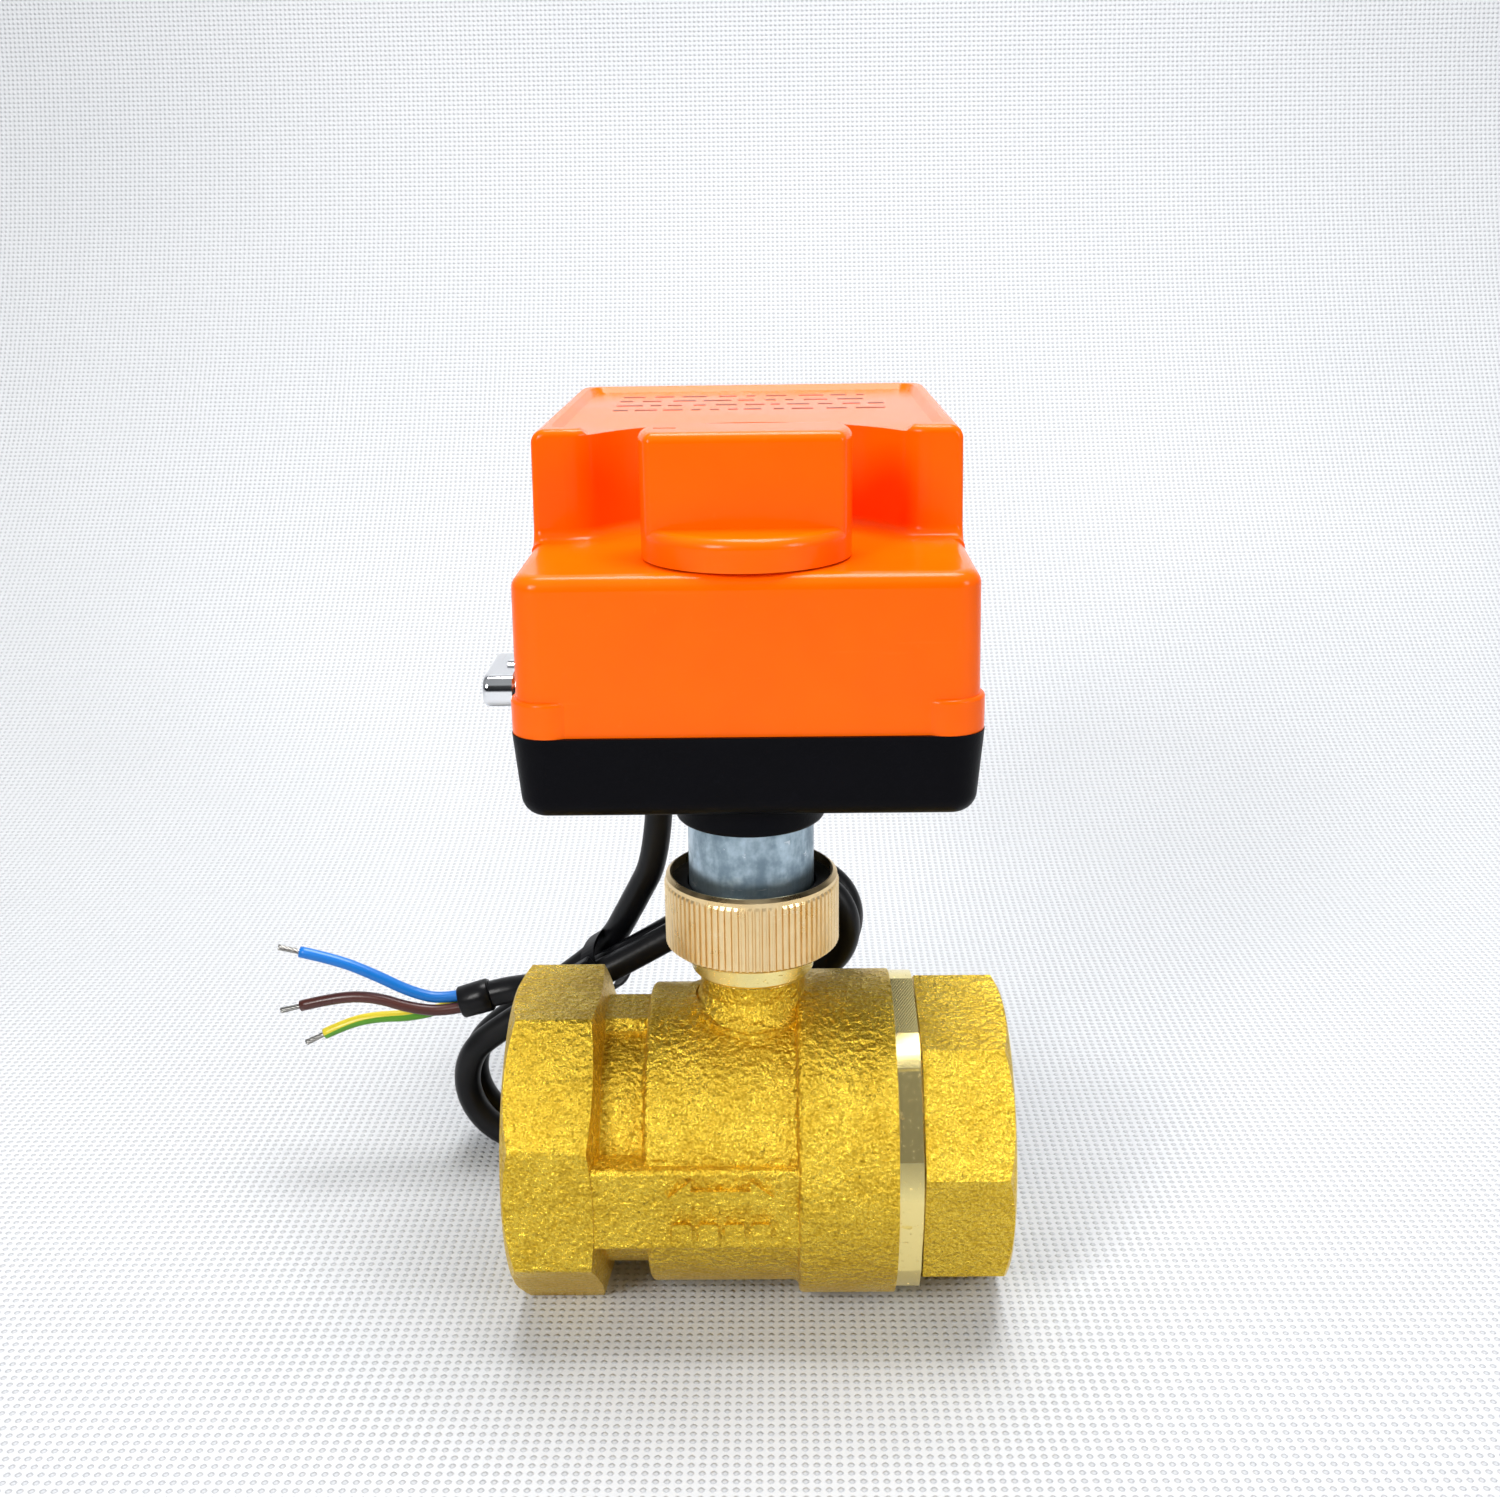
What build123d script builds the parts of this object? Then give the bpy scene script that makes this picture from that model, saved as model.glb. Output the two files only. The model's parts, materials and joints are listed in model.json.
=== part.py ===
from build123d import *
import os
from math import atan2, cos, degrees, pi, radians, sin, sqrt, tan

# Motorized valve actuator on a two-way brass ball valve, nominal bore 32 mm.
# Millimetres. The origin is where the flow axis (X) crosses the stem axis (Z).
# +X is the end-cap side of the flow, +Y is the motor end, +Z is up.

# ---------------------------------------------------------------- clearances
FIT = 0.05            # a turned piece in its bore, on the radius

# ---------------------------------------------------------------- valve sizes
BORE_R = 12.5         # flow bore of the ball
BALL_R = 19.0
CAVITY_R = 20.0       # room for the ball in the body
THROAT_R = 13.0
SEAT_R = 17.3         # outside of a seat ring
SEAT_BACK = 17.5      # distance of a seat's back from the stem axis
THREAD_R = 19.5       # G 1 1/4 minor radius
THREAD_CUT = 1.45     # depth of the thread form
THREAD_PITCH = 2.309
THREAD_LENGTH = 14.5
THREAD_RUN_OUT = 2.0   # plain end of the port behind the thread
INLET_X = -39.2       # inlet face
OUTLET_X = 40.8       # outlet face
INLET_FLATS = 51.0    # across the flats of the inlet octagon
CAP_FLATS = 48.0      # across the flats of the end cap
CAP_TURN = 11.0       # how far the end cap is turned when it is tight
GROOVE_R = 21.4       # waist between the octagon and the middle of the body
GROOVE_X0 = -24.0
GROOVE_X1 = -17.0
MIDDLE_R = 24.5
BARREL_R = 26.5
BARREL_X0 = 7.0
BARREL_X1 = 22.5
COLLAR_X1 = 26.2      # end of the machined collar of the end cap
NOSE_R = 23.0         # end-cap nose inside the barrel
NOSE_X0 = 12.0
PAD_Z = 7.0           # half height of the pads that carry the marks
PAD_Y = 25.3
NECK_R = 8.5
NECK_TOP = 30.0
NECK_RIDGE = 0.8      # how far the ridge round the neck stands out
SPIGOT_R = 9.9        # threaded spigot that the union nut screws on
SPIGOT_Z0 = 34.3
SPIGOT_TOP = 39.5
STEM_R = 5.0
STEM_SQUARE = 7.0
STEM_TOP = 46.0
FLOOR_Z = -INLET_FLATS / 2

# ---------------------------------------------------------------- union and tube
NUT_R = 14.0
NUT_Z0 = 34.5
NUT_TOP = 46.9
NUT_FLUTES = 80
NUT_FLUTE_DEPTH = 0.35
NUT_WELL_R = 12.9     # open well in the top of the nut
TUBE_R = 10.0
TUBE_BORE_R = 7.6
TUBE_FOOT_R = 12.4    # collar that the nut pulls down
TUBE_FOOT_Z = 42.5
TUBE_FLANGE_R = 14.5

# ---------------------------------------------------------------- actuator sizes
BASE_BOTTOM = 60.8
SEAM_Z = 73.8
BASE_HALF = 35.2      # half width of the base at its rim
BASE_FRONT = -16.5
BASE_REAR = 86.0
BASE_DRAFT = 5.0      # degrees
BASE_WALL = 2.4
CORNER_R = 5.0
BOSS_R = 11.8         # round boss under the base
BOSS_BOTTOM = 56.3
COVER_HALF = 34.5     # half width of the cover at the seam
COVER_DRAFT = 0.9     # degrees
COVER_WALL = 2.2
COVER_INSET = 0.7     # the cover wall stands back from the base rim
COVER_TOP = 115.3
SHELF_Z = 97.8
POST_Y = 13.0         # front faces of the two posts
RECESS_R = 28.5       # hollow behind the knob, about the stem axis
SHELF_EDGE_R = 2.2
FOOT_R = 2.0          # round foot of the posts and the hollow
POST_CURVE_R = 6.0    # round inner corner of a post, seen from above
POST_LIP_R = 1.2      # round top edge of a post
PANEL_DEPTH = 1.0     # sunk panel in the top
PANEL_HALF = 30.0
PANEL_MOUTH = 25.0    # half width where the panel opens to the hollow
PANEL_SLOPE = 50.0    # degrees from upright of the panel's edge
PANEL_REAR = 80.0
PAD_TOP = 79.2        # top of the corner pads
PAD_R = 5.6
SCREW_X = 28.4
SCREW_FRONT = -9.8
SCREW_REAR = 79.2
SCREW_R = 1.45
KNOB_R = 15.9
KNOB_Z0 = 98.1
KNOB_DISC_TOP = 103.0
KNOB_TOP = 116.9
BLADE_HALF = 6.5
BLADE_EDGE_R = 1.2
HUB_R = 8.0
SHAFT_R = 5.0

# ---------------------------------------------------------------- gear train
MODULE = 1.0
OUTPUT_TEETH = 24
SMALL_TEETH = 12
LARGE_TEETH = 22
PINION_TEETH = 12
OUTPUT_GEAR_Z = (78.0, 81.0)
LARGE_GEAR_Z = (73.5, 76.5)
PINION_Z = (69.0, 83.0)
IDLER_Y = MODULE * (OUTPUT_TEETH + SMALL_TEETH) / 2
PINION_Y = IDLER_Y + MODULE * (LARGE_TEETH + PINION_TEETH) / 2
AXLE_R = 2.0
CARRIER_Z = (71.8, 73.3)
CLUTCH_DROP = 3.5     # how far the idler slides out of mesh
PLATE_Z = (86.5, 88.5)
PLATE_HALF = 26.0
PLATE_FRONT = -12.0
PLATE_REAR = 80.0
PILLAR_R = 2.6
PILLARS = ((21.5, -9.0), (22.6, 76.0))

# ---------------------------------------------------------------- selector
SELECTOR_Y = 4.0
SELECTOR_Z = 77.6
SELECTOR_BAR = 17.0
SELECTOR_THICK = 5.2
SELECTOR_SHAFT_R = 2.5
CAM_X = (-21.0, -17.0)
CAM_LOW = 4.1

# ---------------------------------------------------------------- motor
MOTOR_Y = 58.0
MOTOR_R = 21.0
MOTOR_Z = (94.0, 110.5)
GEARHEAD_HALF = 20.0
GEARHEAD_FRONT = 28.5
GEARHEAD_REAR = 79.5

# ---------------------------------------------------------------- lead
CORD_R = 2.5
CORE_R = 1.05
TIP_R = 0.75
TIP_LENGTH = 4.0
GLAND_X = -16.5
GLAND_Y = 33.5
GLAND_TIP = 46.0
LEAD_ROUTE = ((-16.5, 33.5, 60.8), (-16.6, 33.55, 38.0), (-23.8, 37.0, 22.6))
TAIL_ROUTE = ((-35.8, 28.2, 13.4), (-44.6, 35.2, 9.7), (-51.6, 34.5, 7.9))
SLEEVE_WALL = 0.5
SLEEVE_LAP = 2.0      # how far the sleeve goes over the jacket
SLEEVE_MOUTH = 4.0    # how far it goes past the end of the jacket
CORE_ROUTES = {
    "core_blue": ((-52.0, 34.5, 9.1), (-58.3, 33.8, 7.6), (-64.5, 33.5, 9.4), (-71.0, 33.2, 13.2),
                  (-77.8, 33.0, 16.4), (-84.4, 33.0, 18.0)),
    "core_brown": ((-51.5, 33.4, 7.2), (-57.8, 32.8, 5.7), (-64.5, 32.5, 6.6), (-71.0, 32.6, 8.9),
                   (-78.0, 32.8, 8.9), (-85.2, 33.0, 7.0)),
    "core_earth": ((-51.7, 35.6, 7.2), (-58.0, 35.0, 5.7), (-64.5, 34.4, 4.1), (-71.0, 33.8, 4.3),
                   (-76.5, 33.3, 3.4), (-81.2, 33.0, 1.2)),
}
HANK_LEFT = Vector(-43.8, 38.0, -11.0)
HANK_RIGHT = Vector(7.8, 30.2, 25.0)
HANK_LEFT_R = 12.0    # centre line of the turns at each end
HANK_RIGHT_R = 9.2
HANK_TURNS = 2
TIE_PLACE = 28.0      # along the hank from its left end


# ================================================================ shape helpers
def block(x0, x1, y0, y1, z0, z1):
    """Box between two corners."""
    return Pos((x0 + x1) / 2, (y0 + y1) / 2, (z0 + z1) / 2) * Box(x1 - x0, y1 - y0, z1 - z0)


def rod(radius, z0, z1, x=0, y=0):
    """Cylinder along Z."""
    return Pos(x, y, (z0 + z1) / 2) * Cylinder(radius, z1 - z0)


def rod_x(radius, x0, x1, y=0, z=0):
    """Cylinder along X."""
    return Pos((x0 + x1) / 2, y, z) * Rot(0, 90, 0) * Cylinder(radius, x1 - x0)


def ring(outer, inner, z0, z1, x=0, y=0):
    """Hollow cylinder along Z."""
    return rod(outer, z0, z1, x, y) - rod(inner, z0 - 1, z1 + 1, x, y)


def ring_x(outer, inner, x0, x1, y=0, z=0):
    """Hollow cylinder along X."""
    return rod_x(outer, x0, x1, y, z) - rod_x(inner, x0 - 1, x1 + 1, y, z)


def turned(*outline):
    """Solid of revolution about Z from (radius, height) points."""
    return revolve(make_face(Plane.XZ * Polyline(*outline, close=True)), Axis.Z, 360)


def turned_x(*outline):
    """Solid of revolution about X from (radius, distance along X) points."""
    return Rot(0, 90, 0) * turned(*outline)


def octagon_x(across_flats, x0, x1, turn=0):
    """Eight-sided bar along X, flat side down when turn is 0."""
    corner_r = across_flats / 2 / cos(pi / 8)
    face = Plane.YZ * Rot(0, 0, 22.5 + turn) * RegularPolygon(corner_r, 8)
    return Pos(x0, 0, 0) * extrude(face, amount=x1 - x0)


def tray(half, front, rear, radius, z0, z1, draft=0):
    """Rounded rectangle drawn at z0 and extruded to z1, drawn in by the draft."""
    outline = Pos(0, (front + rear) / 2, z0) * RectangleRounded(2 * half, rear - front, radius)
    return extrude(outline, amount=abs(z1 - z0), dir=(0, 0, 1 if z1 > z0 else -1), taper=draft)


def near_z(shape, z, tolerance=0.05):
    """Edges that lie whole at one height."""
    return shape.edges().filter_by(lambda e: all(abs(v.Z - z) < tolerance for v in e.vertices())
                                   and abs(e.center().Z - z) < tolerance)


def corners(front, rear):
    """The four screw places of the housing."""
    return [(side * SCREW_X, y) for side in (-1, 1) for y in (front, rear)]


def gear(teeth, z0, z1, bore, x=0, y=0, tooth_at=0.0):
    """Spur gear with straight-sided teeth, one tooth at the given angle in degrees."""
    pitch_r = MODULE * teeth / 2
    tip_r = pitch_r + 0.85 * MODULE
    root_r = pitch_r - 1.15 * MODULE
    half_tip = 0.22 * MODULE / tip_r
    half_root = 0.85 * MODULE / root_r
    points = []
    for index in range(teeth):
        middle = radians(tooth_at) + 2 * pi * index / teeth
        for radius, turn in ((root_r, -half_root), (tip_r, -half_tip), (tip_r, half_tip),
                             (root_r, half_root)):
            points.append((radius * cos(middle + turn), radius * sin(middle + turn)))
    face = Pos(x, y, z0) * make_face(Polyline(*points, close=True))
    return extrude(face, amount=z1 - z0, dir=(0, 0, 1)) - rod(bore, z0 - 1, z1 + 1, x, y)


def cord_radii(route):
    """Arc radius at each inner point: as large as its two runs allow."""
    radii = []
    for before, here, after in zip(route, route[1:], route[2:]):
        run_in = Vector(*here) - Vector(*before)
        run_out = Vector(*after) - Vector(*here)
        turn = radians(run_in.get_angle(run_out))
        radii.append(0.45 * min(run_in.length, run_out.length) / tan(turn / 2))
    return radii


def cord_tube(name, route, radius):
    """Round tube along straight runs joined by tangent arcs."""
    radii = cord_radii(route)
    path = FilletPolyline(*route, radius=radii)
    start = Plane(origin=path @ 0, z_dir=path % 0)
    tube = sweep(start * Circle(radius), path=path)
    expected = pi * radius ** 2 * path.length
    print(f"{name}: length {path.length:.1f}, radii {[round(r, 1) for r in radii]}, volume {tube.volume / expected:.4f}")
    return tube


NODES = {}


def keep(name, shape):
    """Remember a sub-part under its node name."""
    NODES[name] = shape


# ================================================================ valve
def thread_groove(face_x, inward):
    """Helical groove of an internal pipe thread, cut outward from the minor radius."""
    below = 0.35
    turns = int((THREAD_LENGTH - THREAD_RUN_OUT) / THREAD_PITCH * 2) / 2
    path = Helix(pitch=THREAD_PITCH, height=THREAD_PITCH * turns, radius=THREAD_R - below)
    half = THREAD_PITCH * 0.33 + below * 0.4
    start = Plane(origin=path @ 0, x_dir=(1, 0, 0), z_dir=path % 0)
    outline = Polyline((0, -half), (below + THREAD_CUT, -0.12), (below + THREAD_CUT, 0.12), (0, half),
                       close=True)
    groove = sweep(start * make_face(outline), path=path, is_frenet=True)
    return Pos(face_x - inward * 0.9, 0, 0) * Rot(0, inward * 90, 0) * groove


def cast_marks(side):
    """Plain raised marks on a pad: a double-headed flow arrow over three bars."""
    stand = 0.8
    face_y = side * PAD_Y
    arrow = Polyline((-8.2, 3.2), (-4.6, 6.2), (-4.6, 4.4), (4.6, 4.4), (4.6, 6.2), (8.2, 3.2),
                     (4.6, 0.2), (4.6, 2.0), (-4.6, 2.0), (-4.6, 0.2), close=True)
    plane = Plane(origin=(-5.0, face_y, -0.4), x_dir=(side * -1.0, 0, 0), z_dir=(0, side, 0))
    marks = [extrude(plane * make_face(arrow), amount=stand)]
    for step in (-1.5, -0.5, 0.5, 1.5):
        marks.append(extrude(plane * Pos(4.1 * step, -3.2) * RectangleRounded(3.0, 3.6, 0.6), amount=stand))
    return marks


def valve_body():
    """Forged brass body with the inlet, the bonnet neck and the mark pads."""
    blank = turned_x((0, GROOVE_X0 - 1), (GROOVE_R, GROOVE_X0 - 1), (GROOVE_R, GROOVE_X1),
                     (MIDDLE_R, GROOVE_X1),
                     (MIDDLE_R, BARREL_X0), (BARREL_R, BARREL_X0), (BARREL_R, BARREL_X1), (0, BARREL_X1))
    soft = [e for e in blank.edges().filter_by(GeomType.CIRCLE)
            if e.radius > GROOVE_R - 0.1 and GROOVE_X0 - 0.5 < e.arc_center.X < BARREL_X1 - 1]
    blank = fillet(soft, 0.9)
    nose_chamfer = turned_x((0, INLET_X), (INLET_FLATS / 2 - 0.6, INLET_X),
                            (INLET_FLATS / 2 + 2.3, INLET_X + 1.7),
                            (INLET_FLATS / 2 + 2.3, GROOVE_X0 - 1.6), (GROOVE_R + 1.2, GROOVE_X0), (0,
                                    GROOVE_X0))
    inlet = octagon_x(INLET_FLATS, INLET_X, GROOVE_X0) & nose_chamfer
    inlet = fillet(inlet.edges().filter_by(Axis.X), 1.2)
    pad = block(GROOVE_X0 - 1, BARREL_X0 + 0.5, -PAD_Y, PAD_Y, -PAD_Z, PAD_Z)
    pad = fillet(pad.edges().filter_by(Axis.X), 0.8)
    bridge = block(GROOVE_X0 - 1, GROOVE_X1 + 1, -6, 6, 0, GROOVE_R + 1.3)
    bridge = chamfer(bridge.edges().filter_by(Axis.X).group_by(Axis.Z)[-1], 1.5)
    neck_foot = sqrt(MIDDLE_R ** 2 - 81) - 2
    neck = turned((0, neck_foot), (NECK_R + 2.3, neck_foot), (NECK_R + 1.9, MIDDLE_R - 0.9),
                  (NECK_R + 0.7, MIDDLE_R + 0.5),
                  (NECK_R, MIDDLE_R + 2.2), (NECK_R, NECK_TOP), (SPIGOT_R - 0.5, NECK_TOP), (SPIGOT_R,
                          NECK_TOP + 0.6),
                  (SPIGOT_R, SPIGOT_Z0 - 1.1), (SPIGOT_R - 0.8, SPIGOT_Z0 - 0.8), (SPIGOT_R - 0.8,
                          SPIGOT_Z0 + 0.2),
                  (SPIGOT_R, SPIGOT_Z0 + 0.5), (SPIGOT_R, SPIGOT_TOP - 0.5), (SPIGOT_R - 0.5,
                          SPIGOT_TOP), (0, SPIGOT_TOP))
    ridge = ring(NECK_R + 2.3, NECK_R + 0.9, 10, MIDDLE_R + 3) & rod_x(MIDDLE_R + NECK_RIDGE, -12, 12)
    body = blank + inlet + pad + bridge + neck + ridge
    for side in (-1, 1):
        for mark in cast_marks(side):
            body += mark
    body -= rod_x(CAVITY_R, -8, NOSE_X0 + 0.1)
    body -= rod_x(SEAT_R + FIT, -SEAT_BACK, -7)
    body -= rod_x(THROAT_R, INLET_X - 1, 0)
    body -= rod_x(THREAD_R, INLET_X - 1, INLET_X + THREAD_LENGTH)
    body -= rod_x(NOSE_R + FIT, NOSE_X0, BARREL_X1 + 1)
    body -= thread_groove(INLET_X, 1)
    body -= rod(STEM_R + FIT, 15, SPIGOT_TOP + 1)
    body -= rod(STEM_R + 2.2, 15, 22.4)
    body -= block(-60, 60, -40, 40, FLOOR_Z - 10, FLOOR_Z)
    return body


def end_cap():
    """Octagonal end cap that screws into the barrel and holds the outlet seat."""
    collar = octagon_x(2 * BARREL_R - 2.2, BARREL_X1, COLLAR_X1, CAP_TURN) & rod_x(BARREL_R - 0.1,
            BARREL_X1, COLLAR_X1)
    waist = rod_x(CAP_FLATS / 2 - 0.6, COLLAR_X1 - 1, COLLAR_X1 + 1)
    chamfered = turned_x((0, COLLAR_X1 + 0.4), (CAP_FLATS / 2 + 2.2, COLLAR_X1 + 0.4),
                         (CAP_FLATS / 2 + 2.2, OUTLET_X - 1.5),
                         (CAP_FLATS / 2 - 0.3, OUTLET_X), (0, OUTLET_X))
    grip = octagon_x(CAP_FLATS, COLLAR_X1 + 0.4, OUTLET_X, CAP_TURN) & chamfered
    nose = turned_x((0, NOSE_X0), (NOSE_R - 0.5, NOSE_X0), (NOSE_R, NOSE_X0 + 0.5),
                    (NOSE_R, BARREL_X1 + 1), (0, BARREL_X1 + 1))
    cap = collar + waist + grip + nose
    cap -= rod_x(SEAT_R + FIT, NOSE_X0 - 1, SEAT_BACK)
    cap -= rod_x(THROAT_R, NOSE_X0 - 1, OUTLET_X)
    cap -= rod_x(THREAD_R, OUTLET_X - THREAD_LENGTH, OUTLET_X + 1)
    cap -= ring_x(NOSE_R + 1, NOSE_R - 1.3, 14.0, 15.7)
    cap -= thread_groove(OUTLET_X, -1)
    return cap - block(-60, 60, -40, 40, FLOOR_Z - 10, FLOOR_Z)


def seat(side):
    """Ring seat with a spherical face towards the ball."""
    shape = ring_x(SEAT_R, THROAT_R - 0.2, *sorted((side * 7.5, side * (SEAT_BACK - FIT))))
    return shape - Sphere(BALL_R + 0.03)


def make_valve():
    """Valve pieces that stay still, then those that turn with the stem."""
    keep("valve_body", valve_body())
    keep("end_cap", end_cap())
    keep("seat_inlet", seat(-1))
    keep("seat_outlet", seat(1))
    keep("body_seal", ring_x(NOSE_R, NOSE_R - 1.25, 14.1, 15.6))
    keep("thrust_washer", ring(STEM_R + 2.1, STEM_R + 0.1, 21.3, 22.35))
    ball = Sphere(BALL_R) - rod_x(BORE_R, -30, 30) - block(-3.1, 3.1, -30, 30, 14.4, 30)
    keep("ball", ball)
    stem = rod(STEM_R, 20.0, 39.0) + rod(STEM_R + 2.0, 19.6, 21.2)
    stem += rod(STEM_R + 2.0, 14.7, 20.0) & block(-3, 3, -10, 10, 14.7, 20.0)
    stem += block(-STEM_SQUARE / 2, STEM_SQUARE / 2, -STEM_SQUARE / 2, STEM_SQUARE / 2, 38.5, STEM_TOP)
    seals = []
    for height in (26.0, 31.0):
        stem -= ring(STEM_R + 1, STEM_R - 1.0, height, height + 1.7)
        seals.append(ring(STEM_R, STEM_R - 0.95, height + 0.05, height + 1.65))
    keep("valve_stem", stem)
    keep("stem_seals", Compound(seals))


# ================================================================ union nut and drive tube
def union_nut():
    """Fluted nut with an open well that shows its retaining ring."""
    points = []
    for index in range(NUT_FLUTES):
        middle = 2 * pi * index / NUT_FLUTES
        step = 2 * pi / NUT_FLUTES
        for radius, share in ((NUT_R, -0.30), (NUT_R, 0.18), (NUT_R - NUT_FLUTE_DEPTH, 0.30),
                              (NUT_R - NUT_FLUTE_DEPTH, 0.58)):
            points.append((radius * cos(middle + share * step), radius * sin(middle + share * step)))
    fluted = extrude(Pos(0, 0, NUT_Z0) * make_face(Polyline(*points, close=True)), amount=NUT_TOP - NUT_Z0)
    envelope = turned((0, NUT_Z0), (NUT_R - 0.9, NUT_Z0), (NUT_R + 0.2, NUT_Z0 + 0.9),
                      (NUT_R + 0.2, NUT_TOP - 2.0),
                      (NUT_R - 0.35, NUT_TOP - 1.0), (NUT_R - 0.9, NUT_TOP), (0, NUT_TOP))
    shape = fluted & envelope
    shape += turned((NUT_WELL_R - 0.5, NUT_TOP - 1.7), (NUT_R - 0.25, NUT_TOP - 1.7),
                    (NUT_R - 0.25, NUT_TOP - 0.5),
                    (NUT_R - 0.8, NUT_TOP), (NUT_WELL_R - 0.5, NUT_TOP))
    shape -= rod(SPIGOT_R + FIT, NUT_Z0 - 1, TUBE_FOOT_Z)
    return shape - rod(NUT_WELL_R, SPIGOT_TOP + 0.3, NUT_TOP + 1)


def drive_tube():
    """Zinc tube between the valve and the actuator, with its foot and its flange."""
    floor_top = BASE_BOTTOM + BASE_WALL
    tube = rod(TUBE_R, SPIGOT_TOP + 0.4, floor_top + 0.5) + rod(TUBE_FOOT_R, SPIGOT_TOP + 0.4, TUBE_FOOT_Z)
    flat = TUBE_FLANGE_R - 2.5
    tube += rod(TUBE_FLANGE_R, floor_top, floor_top + 2.5) & block(-20, 20, -flat, flat, floor_top - 1,
            floor_top + 4)
    tube -= rod(TUBE_BORE_R, SPIGOT_TOP - 1, floor_top + 4)
    for x, y in tube_screw_places():
        tube -= rod(1.1, floor_top - 1, floor_top + 4, x, y)
    return tube


def tube_screw_places():
    """Four screws through the flange of the tube."""
    radius = TUBE_FLANGE_R - 2.2
    return [(radius * cos(radians(a)), radius * sin(radians(a))) for a in (40, 140, 220, 320)]


def pan_screw(x, y, seat_z, length, shank_r, head_r, head_h=1.5):
    """Pan-head screw that points down, with a cross slot."""
    shape = rod(shank_r, seat_z - length, seat_z + 0.1, x, y) + rod(head_r, seat_z, seat_z + head_h, x, y)
    slot = block(x - head_r * 0.7, x + head_r * 0.7, y - 0.25, y + 0.25, seat_z + head_h * 0.5,
                 seat_z + head_h + 1)
    return shape - slot - Pos(x, y) * Rot(0, 0, 90) * Pos(-x, -y) * slot


def make_union():
    """Union nut, its ring, the drive tube and what fastens it."""
    floor_top = BASE_BOTTOM + BASE_WALL
    keep("union_nut", union_nut())
    keep("retaining_ring", ring(NUT_WELL_R - 0.02, TUBE_R + 0.4, TUBE_FOOT_Z + 0.3, NUT_TOP - 1.6))
    keep("drive_tube", drive_tube())
    keep("tube_screws", Compound([pan_screw(x, y, floor_top + 2.5, 4.4, 1.05, 1.9, 1.4) for x,
                                  y in tube_screw_places()]))
    keep("lower_bush", ring(TUBE_BORE_R, SHAFT_R + FIT, 57.5, floor_top + 2.0))


# ================================================================ housing
def base_housing():
    """Black base tray with the round boss, the cable hole, screw posts and board posts."""
    shape = tray(BASE_HALF, BASE_FRONT, BASE_REAR, CORNER_R, SEAM_Z, BASE_BOTTOM, BASE_DRAFT)
    shape = fillet(near_z(shape, BASE_BOTTOM), 3.2)
    floor_top = BASE_BOTTOM + BASE_WALL
    hollow = tray(BASE_HALF - BASE_WALL, BASE_FRONT + BASE_WALL, BASE_REAR - BASE_WALL, CORNER_R - 2,
                  SEAM_Z, floor_top, BASE_DRAFT)
    shape -= hollow
    groove_half = COVER_HALF - 0.75
    groove = tray(groove_half, BASE_FRONT + 1.45, BASE_REAR - 1.45, CORNER_R - 1, SEAM_Z - 0.9, SEAM_Z + 1)
    groove -= tray(groove_half - 0.9, BASE_FRONT + 2.35, BASE_REAR - 2.35, CORNER_R - 1.6, SEAM_Z - 2,
                   SEAM_Z + 2)
    shape -= groove
    boss = rod(BOSS_R, BOSS_BOTTOM, BASE_BOTTOM + 1)
    shape += fillet(near_z(boss, BOSS_BOTTOM), 0.8)
    for x, y in corners(SCREW_FRONT, SCREW_REAR):
        shape += rod(3.4, BASE_BOTTOM + 1, SEAM_Z - 1.0, x, y)
    shape += rod(3.3, floor_top - 0.5, 67.5, 0, IDLER_Y)
    for x, y in pillar_places():
        shape += rod(PILLAR_R + 1, floor_top - 0.5, floor_top + 1.5, x, y)
    for x, y in board_posts():
        shape += rod(2.4, floor_top - 0.5, 67.0, x, y)
    shape += rod(1.5, floor_top - 0.5, 76.0, *guide_place())
    shape -= rod(TUBE_R + FIT, BOSS_BOTTOM - 1, floor_top + 1)
    shape -= rod(AXLE_R + FIT, 61.2, 70, 0, IDLER_Y)
    shape -= rod(4.0, BASE_BOTTOM - 1, floor_top + 1, GLAND_X, GLAND_Y)
    for x, y in corners(SCREW_FRONT, SCREW_REAR):
        shape -= rod(SCREW_R + FIT, BASE_BOTTOM - 1, SEAM_Z + 1, x, y)
        shape -= rod(2.9, BASE_BOTTOM - 1, BASE_BOTTOM + 3.0, x, y)
    for x, y in tube_screw_places():
        shape -= rod(1.1, floor_top - 2.0, floor_top + 1, x, y)
    for x, y in pillar_places():
        shape -= rod(1.25, floor_top - 1.6, floor_top + 3, x, y)
    return shape


def pillar_places():
    """The four pillars that carry the gear plate."""
    return [(side * x, y) for x, y in PILLARS for side in (-1, 1)]


def board_posts():
    """Posts in the base that the circuit board lies on."""
    return [(side * 26.0, y) for side in (-1, 1) for y in (47.0, 69.0)]


def guide_place():
    """Post that keeps the clutch carrier from turning."""
    return (-14.6, 9.6)


def recess_tool(radius, front, z0, z1):
    """What is missing above the shelf: all before the posts and a round hollow behind the knob."""
    tool = block(-60, 60, BASE_FRONT - 5, front, z0, z1) + rod(radius, z0, z1)
    inner = [e for e in tool.edges().filter_by(Axis.Z) if abs(e.center().Y
                                                              - front) < 0.1 and abs(e.center().X) < 50]
    tool = fillet(inner, POST_CURVE_R)
    return fillet([e for e in near_z(tool, z0) if e.center().Y > front - 1.5], FOOT_R)


def pad_places():
    """Round corner pads that stand out as far as the rim of the base."""
    return [(side * (BASE_HALF - PAD_R), y) for side in (-1, 1) for y in (BASE_FRONT + PAD_R,
            BASE_REAR - PAD_R)]


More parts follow.
